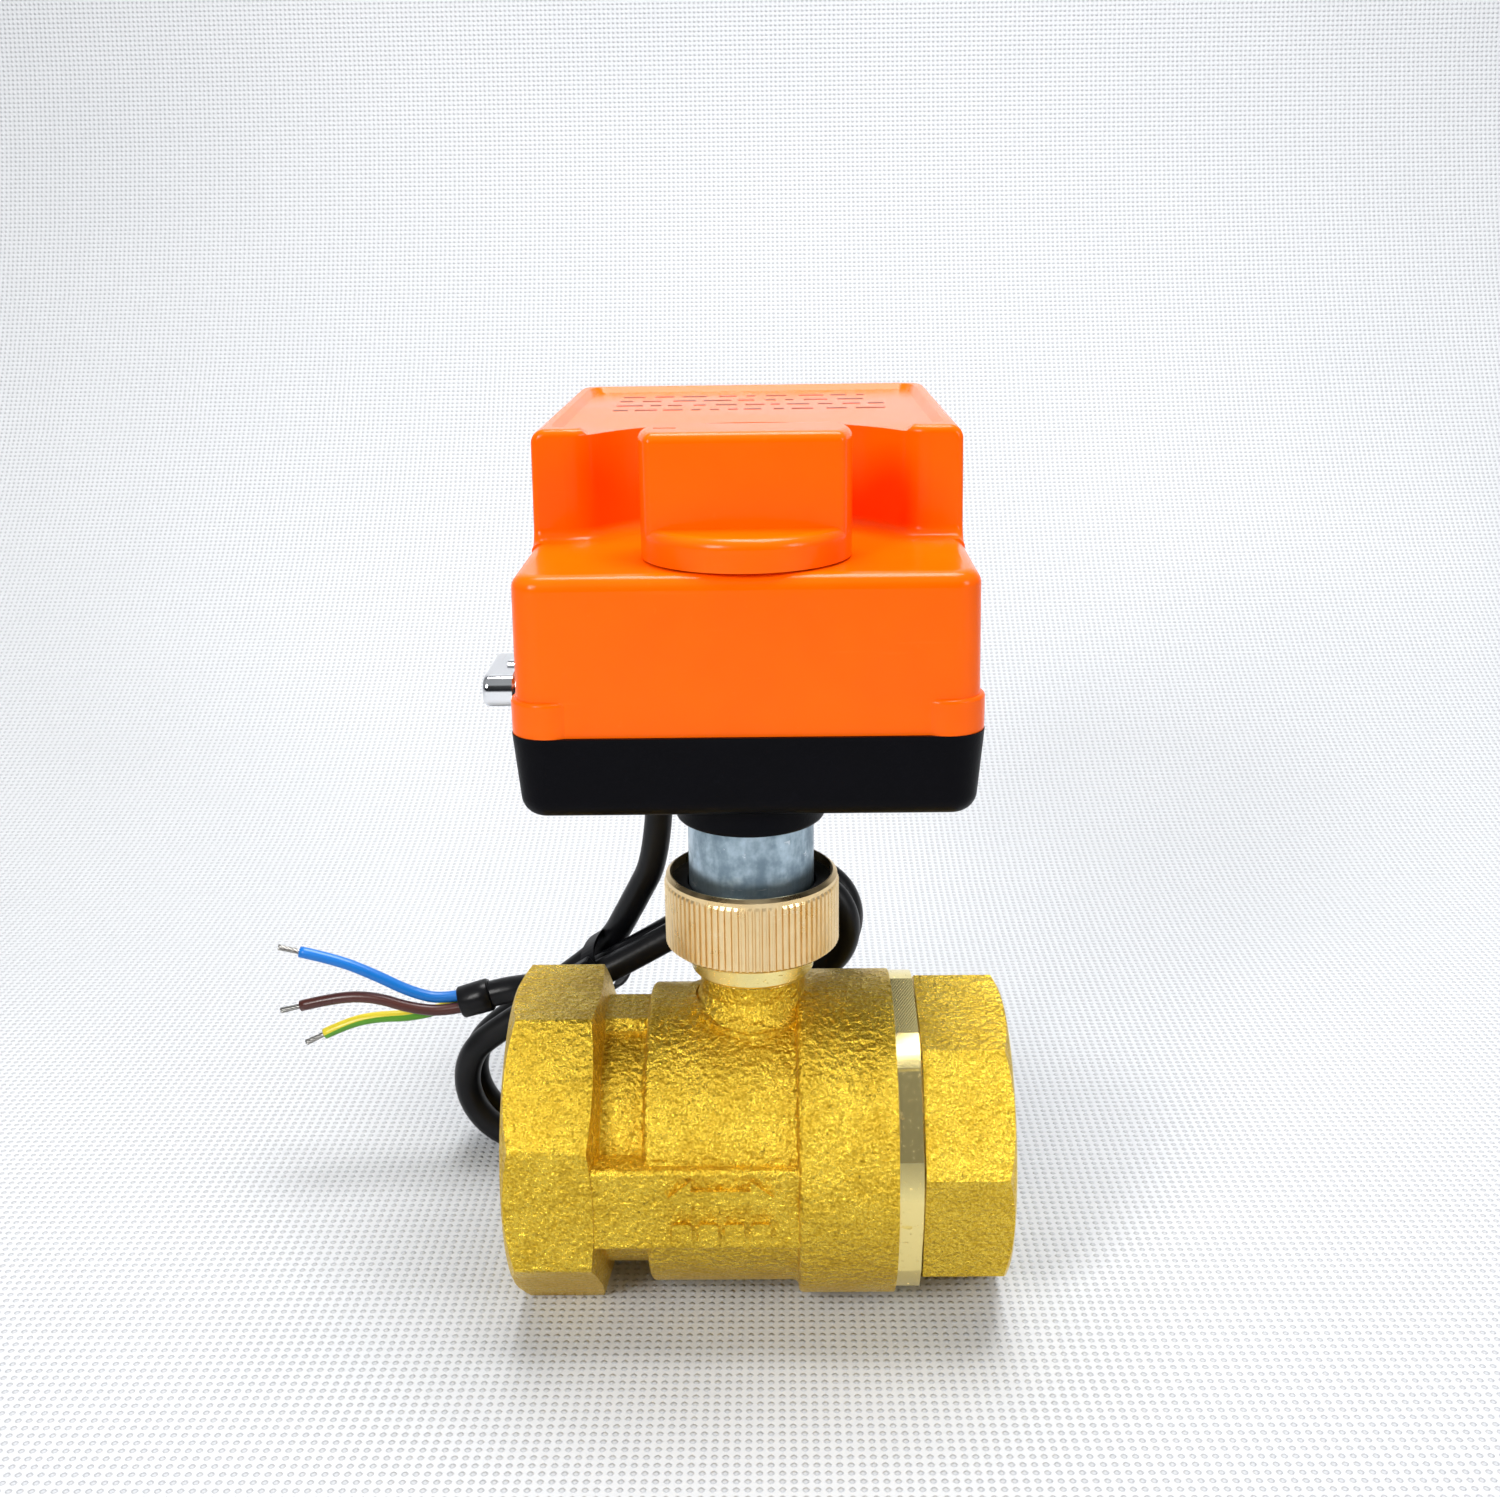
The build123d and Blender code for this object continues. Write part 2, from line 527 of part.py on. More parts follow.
def cover():
    """Orange cover: low shelf in front, two posts, sunk panel, corner pads."""
    front = BASE_FRONT + COVER_INSET
    rear = BASE_REAR - COVER_INSET
    outer = tray(COVER_HALF, front, rear, CORNER_R - 0.5, SEAM_Z, COVER_TOP, COVER_DRAFT)
    outer = fillet(near_z(outer, COVER_TOP), 2.2) - recess_tool(RECESS_R, POST_Y, SHELF_Z, COVER_TOP + 5)
    lip = [e for e in near_z(outer, COVER_TOP) if e.center().Y < RECESS_R + 1]
    outer = fillet([e for e in lip if abs(e.center().X) < COVER_HALF - 4], POST_LIP_R)
    low = tray(COVER_HALF, front, rear, CORNER_R - 0.5, SEAM_Z, SHELF_Z, COVER_DRAFT)
    low = fillet(near_z(low, SHELF_Z), SHELF_EDGE_R)
    shape = low + (outer & block(-60, 60, POST_Y - FOOT_R - 0.1, BASE_REAR + 1, SEAM_Z, COVER_TOP + 1))
    panel_z = COVER_TOP - PANEL_DEPTH
    shape -= tray(PANEL_HALF, POST_Y + 4, PANEL_REAR, 2.5, panel_z, COVER_TOP + 1, -PANEL_SLOPE)
    mouth = Pos(0, (POST_Y + RECESS_R) / 2, panel_z) * Rectangle(2 * PANEL_MOUTH, RECESS_R - POST_Y + 12)
    shape -= extrude(mouth, amount=2, dir=(0, 0, 1), taper=-PANEL_SLOPE)
    for x, y in pad_places():
        pad = rod(PAD_R, SEAM_Z, PAD_TOP, x, y)
        shape += fillet(near_z(pad, PAD_TOP), 0.6)
    wall = COVER_WALL
    lower = tray(COVER_HALF - wall, front + wall, rear - wall, CORNER_R - 2, SEAM_Z, SHELF_Z - wall,
                 COVER_DRAFT)
    upper = tray(COVER_HALF - wall, front + wall, rear - wall, CORNER_R - 2, SEAM_Z, panel_z - wall,
                 COVER_DRAFT)
    upper -= block(-60, 60, BASE_FRONT, POST_Y + wall, SHELF_Z - wall, COVER_TOP) + rod(RECESS_R + wall,
            SHELF_Z - wall, COVER_TOP)
    shape -= lower + upper
    for x, y in corners(SCREW_FRONT, SCREW_REAR):
        shape += rod(3.4, SEAM_Z, 85.5, x, y)
        wall_x = (COVER_HALF - 1.5) * (1 if x > 0 else -1)
        wall_y = front + 1 if y < 0 else rear - 1.5
        shape += block(*sorted((x, wall_x)), y - 1, y + 1, SEAM_Z, 85.5)
        shape += block(x - 1, x + 1, *sorted((y, wall_y)), SEAM_Z, 85.5)
        shape -= rod(SCREW_R + FIT, SEAM_Z - 1, 83.5, x, y)
    shape -= rod(HUB_R + 1.6, SHELF_Z - 5, SHELF_Z + 1)
    return shape - rod_x(3.5, -COVER_HALF - 3, -COVER_HALF + 6, SELECTOR_Y, SELECTOR_Z)


def cover_screw(x, y):
    """Screw that comes up from below into a post of the cover."""
    shape = rod(SCREW_R, BASE_BOTTOM + 2.0, 82.5, x, y) + rod(2.7, BASE_BOTTOM + 1.4, BASE_BOTTOM + 3.0,
                                                              x, y)
    slot = block(x - 1.8, x + 1.8, y - 0.3, y + 0.3, BASE_BOTTOM, BASE_BOTTOM + 2.2)
    return shape - slot - Pos(x, y) * Rot(0, 0, 90) * Pos(-x, -y) * slot


def make_housing():
    """Base, cover, gasket and cover screws."""
    keep("base_housing", base_housing())
    keep("cover", cover())
    half = COVER_HALF - 0.8
    gasket = tray(half, BASE_FRONT + 1.5, BASE_REAR - 1.5, CORNER_R - 1, SEAM_Z - 0.85, SEAM_Z - 0.02)
    gasket -= tray(half - 0.8, BASE_FRONT + 2.3, BASE_REAR - 2.3, CORNER_R - 1.6, SEAM_Z - 2, SEAM_Z + 2)
    keep("cover_gasket", gasket)
    keep("cover_screws", Compound([cover_screw(x, y) for x, y in corners(SCREW_FRONT, SCREW_REAR)]))
    keep("knob_seal", ring(HUB_R + 1.55, HUB_R + 0.08, SHELF_Z - 1.9, SHELF_Z - 0.1))


# ================================================================ output line
def manual_knob():
    """Round knob with a straight blade across its whole width."""
    disc = rod(KNOB_R, KNOB_Z0, KNOB_DISC_TOP)
    disc = fillet(near_z(disc, KNOB_DISC_TOP), 1.6)
    blade = rod(KNOB_R, KNOB_Z0, KNOB_TOP) & block(-KNOB_R - 1, KNOB_R + 1, -BLADE_HALF, BLADE_HALF,
                                                   KNOB_Z0, KNOB_TOP)
    blade = fillet(blade.edges().filter_by(Axis.Z), BLADE_EDGE_R)
    blade = fillet(near_z(blade, KNOB_TOP), BLADE_EDGE_R + 0.3)
    knob = disc + blade + rod(HUB_R, 95.2, KNOB_Z0 + 1)
    knob -= block(-13.6, -10.2, -0.45, 0.45, KNOB_TOP - 0.5, KNOB_TOP + 1)
    return knob - (rod(SHAFT_R + FIT, 90, 110) & block(-SHAFT_R + 1, SHAFT_R + 1, -10, 10, 90,
                                                       112)) - rod(SHAFT_R + FIT, 90, 95.5)


def output_shaft():
    """Shaft from the square of the stem up to the knob."""
    shape = rod(TUBE_BORE_R - 0.4, SPIGOT_TOP + 0.6, 56.0) + rod(SHAFT_R, 55.5, 95.3)
    shape += rod(SHAFT_R, 95.0, 109.5) & block(-SHAFT_R + 1.1, SHAFT_R + 1, -10, 10, 95.0, 110)
    half = STEM_SQUARE / 2 + 0.06
    shape -= block(-half, half, -half, half, SPIGOT_TOP - 1, STEM_TOP + 0.3)
    return shape - ring(SHAFT_R + 1, SHAFT_R - 0.7, 85.0, 86.0)


def limit_cam(z0, lobe_at):
    """Disc with one raised lobe."""
    lobe = Rot(0, 0, lobe_at) * (rod(8.7, z0, z0 + 2.0) & block(0, 20, -4, 4, z0, z0 + 2.0))
    return rod(7.4, z0, z0 + 2.0) + lobe - rod(SHAFT_R, z0 - 1, z0 + 3)


def make_output_line():
    """Everything that turns with the valve stem."""
    keep("output_shaft", output_shaft())
    output_gear = gear(OUTPUT_TEETH, *OUTPUT_GEAR_Z, SHAFT_R, tooth_at=90)
    hub = ring(SHAFT_R + 3, SHAFT_R, OUTPUT_GEAR_Z[1] - 0.5, OUTPUT_GEAR_Z[1] + 3)
    keep("output_gear", output_gear + hub)
    keep("limit_cams", Compound([limit_cam(90.0, 180), limit_cam(92.4, 90)]))
    keep("manual_knob", manual_knob())
    keep("shaft_circlip", ring(SHAFT_R + 1.2, SHAFT_R - 0.65, 85.1, 85.9) - block(-1.2, 1.2, 0, 10, 84, 87))


# ================================================================ gear train and clutch
def make_gear_train():
    """Idler on its sliding carrier, and the motor pinion."""
    small = gear(SMALL_TEETH, *OUTPUT_GEAR_Z, AXLE_R + FIT, 0, IDLER_Y, tooth_at=270 + 180 / SMALL_TEETH)
    large = gear(LARGE_TEETH, *LARGE_GEAR_Z, AXLE_R + FIT, 0, IDLER_Y, tooth_at=90)
    web = ring(SMALL_TEETH * MODULE / 2 - 1.2, AXLE_R + FIT, LARGE_GEAR_Z[1] - 0.2,
               OUTPUT_GEAR_Z[0] + 0.2, 0, IDLER_Y)
    keep("idler_gear", small + large + web)
    pinion = gear(PINION_TEETH, *PINION_Z, 1.5, 0, PINION_Y, tooth_at=270 + 180 / PINION_TEETH)
    pinion += rod(2.0, PINION_Z[0] + 0.5, 92.0, 0, PINION_Y)
    keep("motor_pinion", pinion)
    keep("idler_axle", rod(AXLE_R, 65.1, 91.2, 0, IDLER_Y))
    carrier_cam_x = (CAM_X[0] + CAM_X[1]) / 2
    arm_end = Vector(carrier_cam_x, SELECTOR_Y, 0)
    hub_at = Vector(0, IDLER_Y, 0)
    arm = arm_end - hub_at
    middle = (arm_end + hub_at) * 0.5
    plate = Pos(middle.X, middle.Y, 0) * Rot(0, 0, degrees(atan2(arm.Y, arm.X))) * Rectangle(arm.length, 7)
    carrier = extrude(Pos(0, 0, CARRIER_Z[0]) * plate, amount=CARRIER_Z[1] - CARRIER_Z[0], dir=(0, 0, 1))
    carrier += rod(5.5, *CARRIER_Z, 0, IDLER_Y)
    carrier += block(CAM_X[0] - 0.5, CAM_X[1] + 0.5, SELECTOR_Y - 9, SELECTOR_Y + 4, *CARRIER_Z)
    carrier -= rod(AXLE_R, 60, 80, 0, IDLER_Y)
    keep("clutch_carrier", carrier - rod(1.8, 60, 80, *guide_place()))
    turns = 4
    spring_bottom = BASE_BOTTOM + BASE_WALL + 0.1
    spring_top = CARRIER_Z[0] - 0.05
    wire_r = 0.35
    path = Pos(0, IDLER_Y, spring_bottom + wire_r) * Helix((spring_top
                                                            - spring_bottom - 2 * wire_r) / turns,
                                                           spring_top - spring_bottom - 2 * wire_r, 4.3)
    start = Plane(origin=path @ 0, z_dir=path % 0)
    keep("clutch_spring", sweep(start * Circle(wire_r), path=path, is_frenet=True))


def selector_cam():
    """Cam whose flat-follower lift grows evenly over a quarter turn."""
    rise = CLUTCH_DROP / (pi / 2)
    points = [(0, -CAM_LOW)]
    for degree in range(0, 91, 10):
        angle = radians(degree)
        lift = CAM_LOW + rise * angle
        points.append((-lift * sin(angle) - rise * cos(angle), -lift * cos(angle) + rise * sin(angle)))
    points += [(-4.5, 4.0), (0, 3.6), (2.8, 2.8), (3.8, 0), (2.8, -2.8)]
    face = Plane.YZ * Pos(SELECTOR_Y, SELECTOR_Z) * make_face(Polyline(*points, close=True))
    return Pos(CAM_X[0], 0, 0) * extrude(face, amount=CAM_X[1] - CAM_X[0], dir=(1, 0, 0))


def make_selector():
    """Chrome bar outside, shaft and cam inside."""
    bar_x0 = -COVER_HALF - 6.2
    bar_x1 = -COVER_HALF - 1.6
    bar = block(bar_x0, bar_x1, SELECTOR_Y - SELECTOR_BAR / 2, SELECTOR_Y + SELECTOR_BAR / 2,
                SELECTOR_Z - SELECTOR_THICK / 2, SELECTOR_Z + SELECTOR_THICK / 2)
    bar = fillet(bar.edges().filter_by(Axis.X), SELECTOR_THICK * 0.45)
    bar = fillet(bar.edges().filter_by(lambda e: abs(e.center().X - bar_x0) < 0.01), 0.9)
    skirt = rod_x(3.5, bar_x1 - 1.5, -COVER_HALF - 0.5, SELECTOR_Y, SELECTOR_Z)
    keep("selector_knob", bar + skirt - rod_x(SELECTOR_SHAFT_R, bar_x0 + 1.2, 0, SELECTOR_Y, SELECTOR_Z))
    shaft = rod_x(SELECTOR_SHAFT_R, bar_x0 + 1.3, -15.0, SELECTOR_Y, SELECTOR_Z)
    keep("selector_shaft", shaft + selector_cam())
    keep("selector_seal", ring_x(3.45, SELECTOR_SHAFT_R + FIT, -COVER_HALF + 0.35, -COVER_HALF + 2.1,
                                 SELECTOR_Y, SELECTOR_Z))


# ================================================================ motor, plate, board
def make_motor():
    """Gear plate on its pillars, with the geared motor on top."""
    plate = block(-PLATE_HALF, PLATE_HALF, PLATE_FRONT, PLATE_REAR, *PLATE_Z)
    plate = fillet(plate.edges().filter_by(Axis.Z), 2)
    plate -= rod(SHAFT_R + 2, 80, 95) + rod(AXLE_R + FIT, 80, 95, 0, IDLER_Y) + rod(3.0, 80, 95, 0,
            PINION_Y)
    for x, y in pillar_places() + motor_screw_places():
        plate -= rod(1.25, 80, 95, x, y)
    keep("gear_plate", plate)
    keep("upper_bush", ring(SHAFT_R + 1.98, SHAFT_R + FIT, PLATE_Z[0] - 0.2, PLATE_Z[1] + 0.8)
         + ring(SHAFT_R + 3, SHAFT_R + FIT, PLATE_Z[1] + 0.02, PLATE_Z[1] + 0.8))
    pillars = []
    for x, y in pillar_places():
        pillar = rod(PILLAR_R, BASE_BOTTOM + BASE_WALL + 1.5, PLATE_Z[0], x, y)
        pillar += rod(1.2, BASE_BOTTOM + BASE_WALL - 1.4, BASE_BOTTOM + BASE_WALL + 2, x, y)
        pillars.append(pillar - rod(1.25, PLATE_Z[0] - 6, PLATE_Z[0] + 1, x, y))
    keep("plate_pillars", Compound(pillars))
    keep("plate_screws", Compound([pan_screw(x, y, PLATE_Z[1], 7.0, 1.2, 2.2) for x, y in pillar_places()]))
    middle_y = (GEARHEAD_FRONT + GEARHEAD_REAR) / 2
    box = Pos(0, middle_y, (PLATE_Z[1] + MOTOR_Z[0]) / 2) * Box(2 * GEARHEAD_HALF,
            GEARHEAD_REAR - GEARHEAD_FRONT, MOTOR_Z[0] - PLATE_Z[1])
    box = fillet(box.edges().filter_by(Axis.Z), 5)
    box -= rod(2.0 + FIT, 80, 92.3, 0, PINION_Y) + rod(2.0 + FIT, 92.0, 100, 0, MOTOR_Y)
    for x, y in motor_screw_places():
        box -= rod(1.25, 80, 100, x, y)
    keep("gearhead", box)
    keep("motor_screws", Compound([pan_screw(x, y, MOTOR_Z[0], 8.0, 1.2, 2.2) for x,
                                   y in motor_screw_places()]))
    z0, z1 = MOTOR_Z
    can = rod(MOTOR_R, z0, z1, 0, MOTOR_Y)
    can = fillet(near_z(can, z1), 1.2) - rod(MOTOR_R - 0.9, z0 - 1, z1 - 0.9, 0, MOTOR_Y)
    keep("motor_can", can)
    keep("motor_coil", ring(MOTOR_R - 2.0, 13.0, z0 + 2.0, z1 - 3.0, 0, MOTOR_Y))
    rotor = rod(10.8, z0 + 1.5, z1 - 1.8, 0, MOTOR_Y) - ring(9.0, 4.0, z0 + 3.0, z1, 0,
                                                             MOTOR_Y) + rod(2.0, z0 - 1.6, z1 - 1.2, 0,
                                                                     MOTOR_Y)
    keep("motor_rotor", rotor)


def motor_screw_places():
    """Screws that hold the gearhead on the plate."""
    return [(side * 16.5, y) for side in (-1, 1) for y in (GEARHEAD_FRONT + 4.5, GEARHEAD_REAR - 3.0)]


def limit_switch(side):
    """Small snap switch with its lever next to the cams."""
    body = block(*sorted((side * 10.8, side * 16.8)), -6.4, 6.4, PLATE_Z[1] + 0.02, 94.6)
    z0 = 90.0 if side < 0 else 92.4
    lever = block(*sorted((side * 9.3, side * 9.6)), -6.0, 6.0, z0, z0 + 2.0)
    foot = block(*sorted((side * 9.4, side * 10.9)), 5.4, 6.2, z0, z0 + 2.0)
    pins = block(*sorted((side * 16.7, side * 19.0)), -5.0, -4.2, 91.0, 93.0)
    pins += block(*sorted((side * 16.7, side * 19.0)), 4.2, 5.0, 91.0, 93.0)
    return body + lever + foot + pins


def make_board():
    """Limit switches, the circuit board and what is soldered on it."""
    keep("switch_open", limit_switch(-1))
    keep("switch_closed", limit_switch(1))
    board_z = (67.0, 68.6)
    board = block(-29.0, 29.0, 44.0, 72.0, *board_z)
    for x, y in board_posts():
        board -= rod(1.2, 60, 70, x, y)
    keep("circuit_board", board)
    terminal = block(-24.0, -2.0, 46.0, 54.0, board_z[1] + 0.02, 78.0)
    for index in range(4):
        x = -21.2 + 5.5 * index
        terminal -= rod(1.9, 74.0, 80.0, x, 50.0) + block(x - 1.6, x + 1.6, 45.0, 48.0, 70.0, 73.0)
    keep("terminal_block", terminal)
    keep("capacitor", Pos(16.0, 52.0, board_z[1] + 6.02) * Box(18.0, 8.0, 12.0))
    keep("relay", fillet((Pos(8.0, 65.0, board_z[1] + 7.52) * Box(20.0, 10.0,
            15.0)).edges().filter_by(Axis.Z), 0.8))


# ================================================================ lead
def cable_gland():
    """Gland with a tapered sleeve round the lead, and its nut inside the base."""
    floor_top = BASE_BOTTOM + BASE_WALL
    shape = turned((0, GLAND_TIP), (3.9, GLAND_TIP), (4.6, 57.5), (6.4, 57.5), (6.4, BASE_BOTTOM),
                   (3.95, BASE_BOTTOM),
                   (3.95, 65.6), (0, 65.6))
    for height in (46.5, 49.5, 52.5, 55.5):
        shape -= ring(6.0, 3.6, height, height + 1.0)
    shape -= rod(CORD_R + FIT, 50, 70) + turned((0, GLAND_TIP - 0.1), (CORD_R + 0.95, GLAND_TIP - 0.1),
                                                (CORD_R + FIT, 51), (0, 51))
    return Pos(GLAND_X, GLAND_Y, 0) * (shape + ring(6.2, 3.9, floor_top, floor_top + 2.2))


def hank_plane():
    """Upright plane of the hank: X along it, Y across it, Z towards the front."""
    along = HANK_RIGHT - HANK_LEFT
    facing = along.cross(Vector(0, 0, 1)).normalized()
    return Plane(origin=HANK_LEFT, x_dir=along, z_dir=facing)


def hank_outline(offset):
    """Outline round the two ends of the hank, away from its centre line by the offset."""
    length = (HANK_RIGHT - HANK_LEFT).length
    left_r = HANK_LEFT_R + offset
    right_r = HANK_RIGHT_R + offset
    lean = atan2(left_r - right_r, sqrt(length ** 2 - (left_r - right_r) ** 2))
    up = Vector(sin(lean), cos(lean))
    left_up = Vector(0, 0) + up * left_r
    right_up = Vector(length, 0) + up * right_r
    left_down = Vector(left_up.X, -left_up.Y)
    right_down = Vector(right_up.X, -right_up.Y)
    return make_face([Line(left_up, right_up),
                      ThreePointArc(right_up, Vector(length + right_r, 0), right_down),
                      Line(right_down, left_down),
                      ThreePointArc(left_down, Vector(-left_r, 0), left_up)])


def make_lead():
    """Gland, lead, hank with its tie, tail and the three cores with their bare tips."""
    keep("cable_gland", cable_gland())
    keep("cord_lead", cord_tube("cord_lead", LEAD_ROUTE, CORD_R))
    plane = hank_plane()
    depth = HANK_TURNS * CORD_R
    hank = extrude(plane * hank_outline(CORD_R), amount=depth,
                   both=True) - extrude(plane * hank_outline(-CORD_R), amount=depth + 1, both=True)
    keep("cord_hank", hank)
    along = TIE_PLACE
    share = along / (HANK_RIGHT - HANK_LEFT).length
    strand = HANK_LEFT_R + (HANK_RIGHT_R - HANK_LEFT_R) * share
    slack = 0.35
    strap = 1.1
    tie = Pos(along, strand, 0) * Box(3.0, 2 * (CORD_R + slack + strap), 2 * (depth + slack + strap))
    tie -= Pos(along, strand, 0) * Box(5.0, 2 * (CORD_R + slack), 2 * (depth + slack))
    head = Pos(along - 0.5, strand + 2.6, depth + slack + strap + 0.9) * Box(4.2, 4.2, 3.4)
    keep("cord_tie", plane.location * (tie + fillet(head.edges(), 0.9)))
    keep("cord_tail", cord_tube("cord_tail", TAIL_ROUTE, CORD_R))
    jacket_end = Vector(*TAIL_ROUTE[-1])
    outward = (jacket_end - Vector(*TAIL_ROUTE[-2])).normalized()
    sleeve_start = Plane(origin=jacket_end - outward * SLEEVE_LAP, z_dir=outward)
    wall = Circle(CORD_R + FIT + SLEEVE_WALL) - Circle(CORD_R + FIT)
    keep("cord_sleeve", extrude(sleeve_start * wall, amount=SLEEVE_LAP + SLEEVE_MOUTH))
    tips = []
    for name, route in CORE_ROUTES.items():
        keep(name, cord_tube(name, route, CORE_R))
        last = Vector(*route[-1])
        heading = (last - Vector(*route[-2])).normalized()
        tips.append(extrude(Plane(origin=last, z_dir=heading) * Circle(TIP_R), amount=TIP_LENGTH))
    keep("core_tips", Compound(tips))


make_valve()
make_union()
make_housing()
make_output_line()
make_gear_train()
make_selector()
make_motor()
make_board()
make_lead()

os.makedirs("parts", exist_ok=True)
for node_name, node_shape in NODES.items():
    export_step(node_shape, f"parts/{node_name}.step")
print(len(NODES), "nodes")
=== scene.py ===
"""Looks of a motorized ball valve actuator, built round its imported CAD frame.

Lengths are in metres. A name that ends in _mm, and a tuple that goes through metres(),
are in millimetres. The origin is where the flow axis crosses the stem axis, +X runs
along the flow, +Y to the motor end and +Z up.
"""

from __future__ import annotations

import json
import logging
import math
import random
from dataclasses import dataclass, field
from enum import Enum

import bmesh
import bpy
from mathutils import Matrix, Vector

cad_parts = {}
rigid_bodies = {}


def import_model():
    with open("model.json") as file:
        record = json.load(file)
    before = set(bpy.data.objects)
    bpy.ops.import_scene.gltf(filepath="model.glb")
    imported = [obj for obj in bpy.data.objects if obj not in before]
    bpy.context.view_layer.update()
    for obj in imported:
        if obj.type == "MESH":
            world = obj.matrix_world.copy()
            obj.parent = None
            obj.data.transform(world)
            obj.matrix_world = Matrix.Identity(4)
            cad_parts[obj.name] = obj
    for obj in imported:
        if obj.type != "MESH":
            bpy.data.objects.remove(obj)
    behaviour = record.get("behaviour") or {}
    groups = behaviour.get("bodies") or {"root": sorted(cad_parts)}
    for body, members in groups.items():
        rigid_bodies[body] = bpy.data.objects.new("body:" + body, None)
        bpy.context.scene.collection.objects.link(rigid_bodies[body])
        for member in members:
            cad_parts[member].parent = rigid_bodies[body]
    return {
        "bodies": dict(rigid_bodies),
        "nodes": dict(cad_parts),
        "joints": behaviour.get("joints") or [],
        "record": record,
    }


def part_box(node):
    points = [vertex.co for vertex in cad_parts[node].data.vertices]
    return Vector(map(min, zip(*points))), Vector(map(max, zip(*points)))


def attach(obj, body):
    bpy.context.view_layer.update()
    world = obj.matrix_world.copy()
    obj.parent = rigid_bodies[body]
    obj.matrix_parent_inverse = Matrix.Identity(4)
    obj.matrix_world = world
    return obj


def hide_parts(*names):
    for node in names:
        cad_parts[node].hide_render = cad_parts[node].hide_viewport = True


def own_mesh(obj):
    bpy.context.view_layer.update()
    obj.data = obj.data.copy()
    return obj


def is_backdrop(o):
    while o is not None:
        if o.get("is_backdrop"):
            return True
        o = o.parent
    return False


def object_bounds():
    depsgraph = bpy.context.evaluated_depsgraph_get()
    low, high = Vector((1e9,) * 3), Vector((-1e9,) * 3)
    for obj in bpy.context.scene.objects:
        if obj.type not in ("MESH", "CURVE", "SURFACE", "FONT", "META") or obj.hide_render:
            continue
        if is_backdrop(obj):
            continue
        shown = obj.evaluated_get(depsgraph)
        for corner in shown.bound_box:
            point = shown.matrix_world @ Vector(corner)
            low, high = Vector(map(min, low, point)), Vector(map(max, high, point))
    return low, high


LOG = logging.getLogger("actuator")
MM = 0.001
UV_NAME = "UVMap"
UV_UNIT = 0.01
HOUSING = "housing"
Color = tuple[float, float, float]
Socket = bpy.types.NodeSocket
Point = tuple[float, float, float]


def metres(point: Point) -> Vector:
    """Turn a point in millimetres into a vector in metres."""
    return Vector(point) * MM


# ---- node trees
class Net:
    """A node tree that is being wired up, with short ways to add the usual nodes."""

    def __init__(self, tree: bpy.types.NodeTree) -> None:
        """Keep the tree to wire."""
        self.tree = tree

    def add(self, kind: str, **settings: object) -> bpy.types.Node:
        """Add a node and set its properties.

        Args:
            kind: the node's type name, without the ShaderNode prefix.
            **settings: properties of the node.

        Returns:
            The new node.
        """
        node = self.tree.nodes.new(f"ShaderNode{kind}")
        for name, value in settings.items():
            setattr(node, name, value)
        return node

    def feed(self, socket: Socket, value: object) -> None:
        """Link a socket to another one, or set its plain value."""
        if isinstance(value, Socket):
            self.tree.links.new(value, socket)
        else:
            socket.default_value = value

    def math(self, operation: str, *values: object, clamp: bool = False) -> Socket:
        """Add a Math node.

        Args:
            operation: the operation's name.
            *values: its inputs, sockets or numbers.
            clamp: whether the result is held between 0 and 1.

        Returns:
            The result's socket.
        """
        node = self.add("Math", operation=operation, use_clamp=clamp)
        for socket, value in zip(node.inputs, values):
            self.feed(socket, value)
        return node.outputs[0]

    def plus(self, first: object, second: object, clamp: bool = False) -> Socket:
        """Add two values."""
        return self.math("ADD", first, second, clamp=clamp)

    def minus(self, first: object, second: object) -> Socket:
        """Take the second value from the first."""
        return self.math("SUBTRACT", first, second)

    def times(self, first: object, second: object, clamp: bool = False) -> Socket:
        """Multiply two values."""
        return self.math("MULTIPLY", first, second, clamp=clamp)

    def remap(self, value: object, low: float, high: float, to_low: float = 0.0,
              to_high: float = 1.0) -> Socket:
        """Map a range of values smoothly on another range."""
        node = self.add("MapRange", interpolation_type="SMOOTHSTEP")
        for index, item in enumerate((value, low, high, to_low, to_high)):
            self.feed(node.inputs[index], item)
        return node.outputs[0]

    def mix(self, factor: object, low: object, high: object) -> Socket:
        """Mix two colours by a factor."""
        node = self.add("Mix", data_type="RGBA")
        colours = [socket for socket in node.inputs if socket.type == "RGBA"]
        self.feed(node.inputs[0], factor)
        for socket, value in zip(colours, (low, high)):
            self.feed(socket, (*value, 1.0) if isinstance(value, tuple) else value)
        return next(socket for socket in node.outputs if socket.type == "RGBA")

    def noise(self, vector: object, scale: object, detail: float = 2.0,
              roughness: float = 0.5) -> Socket:
        """Add a noise texture and give its value."""
        node = self.add("TexNoise")
        self.feed(node.inputs["Vector"], vector)
        self.feed(node.inputs["Scale"], scale)
        node.inputs["Detail"].default_value = detail
        node.inputs["Roughness"].default_value = roughness
        return node.outputs["Fac"]

    def stretched(self, vector: object, scale: Point) -> Socket:
        """Scale a vector by different amounts along its axes."""
        node = self.add("Mapping")
        self.feed(node.inputs["Vector"], vector)
        node.inputs["Scale"].default_value = scale
        return node.outputs[0]

    def here(self) -> Socket:
        """Place on the piece, in metres in the row frame."""
        return self.add("TexCoord").outputs["Object"]


class Effect(Enum):
    """Shader node groups that several finishes share."""

    CAST_GRAIN = "cast_grain"
    FINE_GRAIN = "fine_grain"
    SCUFFS = "scuffs"
    DUST = "dust"
    TURNING = "turning_marks"
    ZONE = "zone"


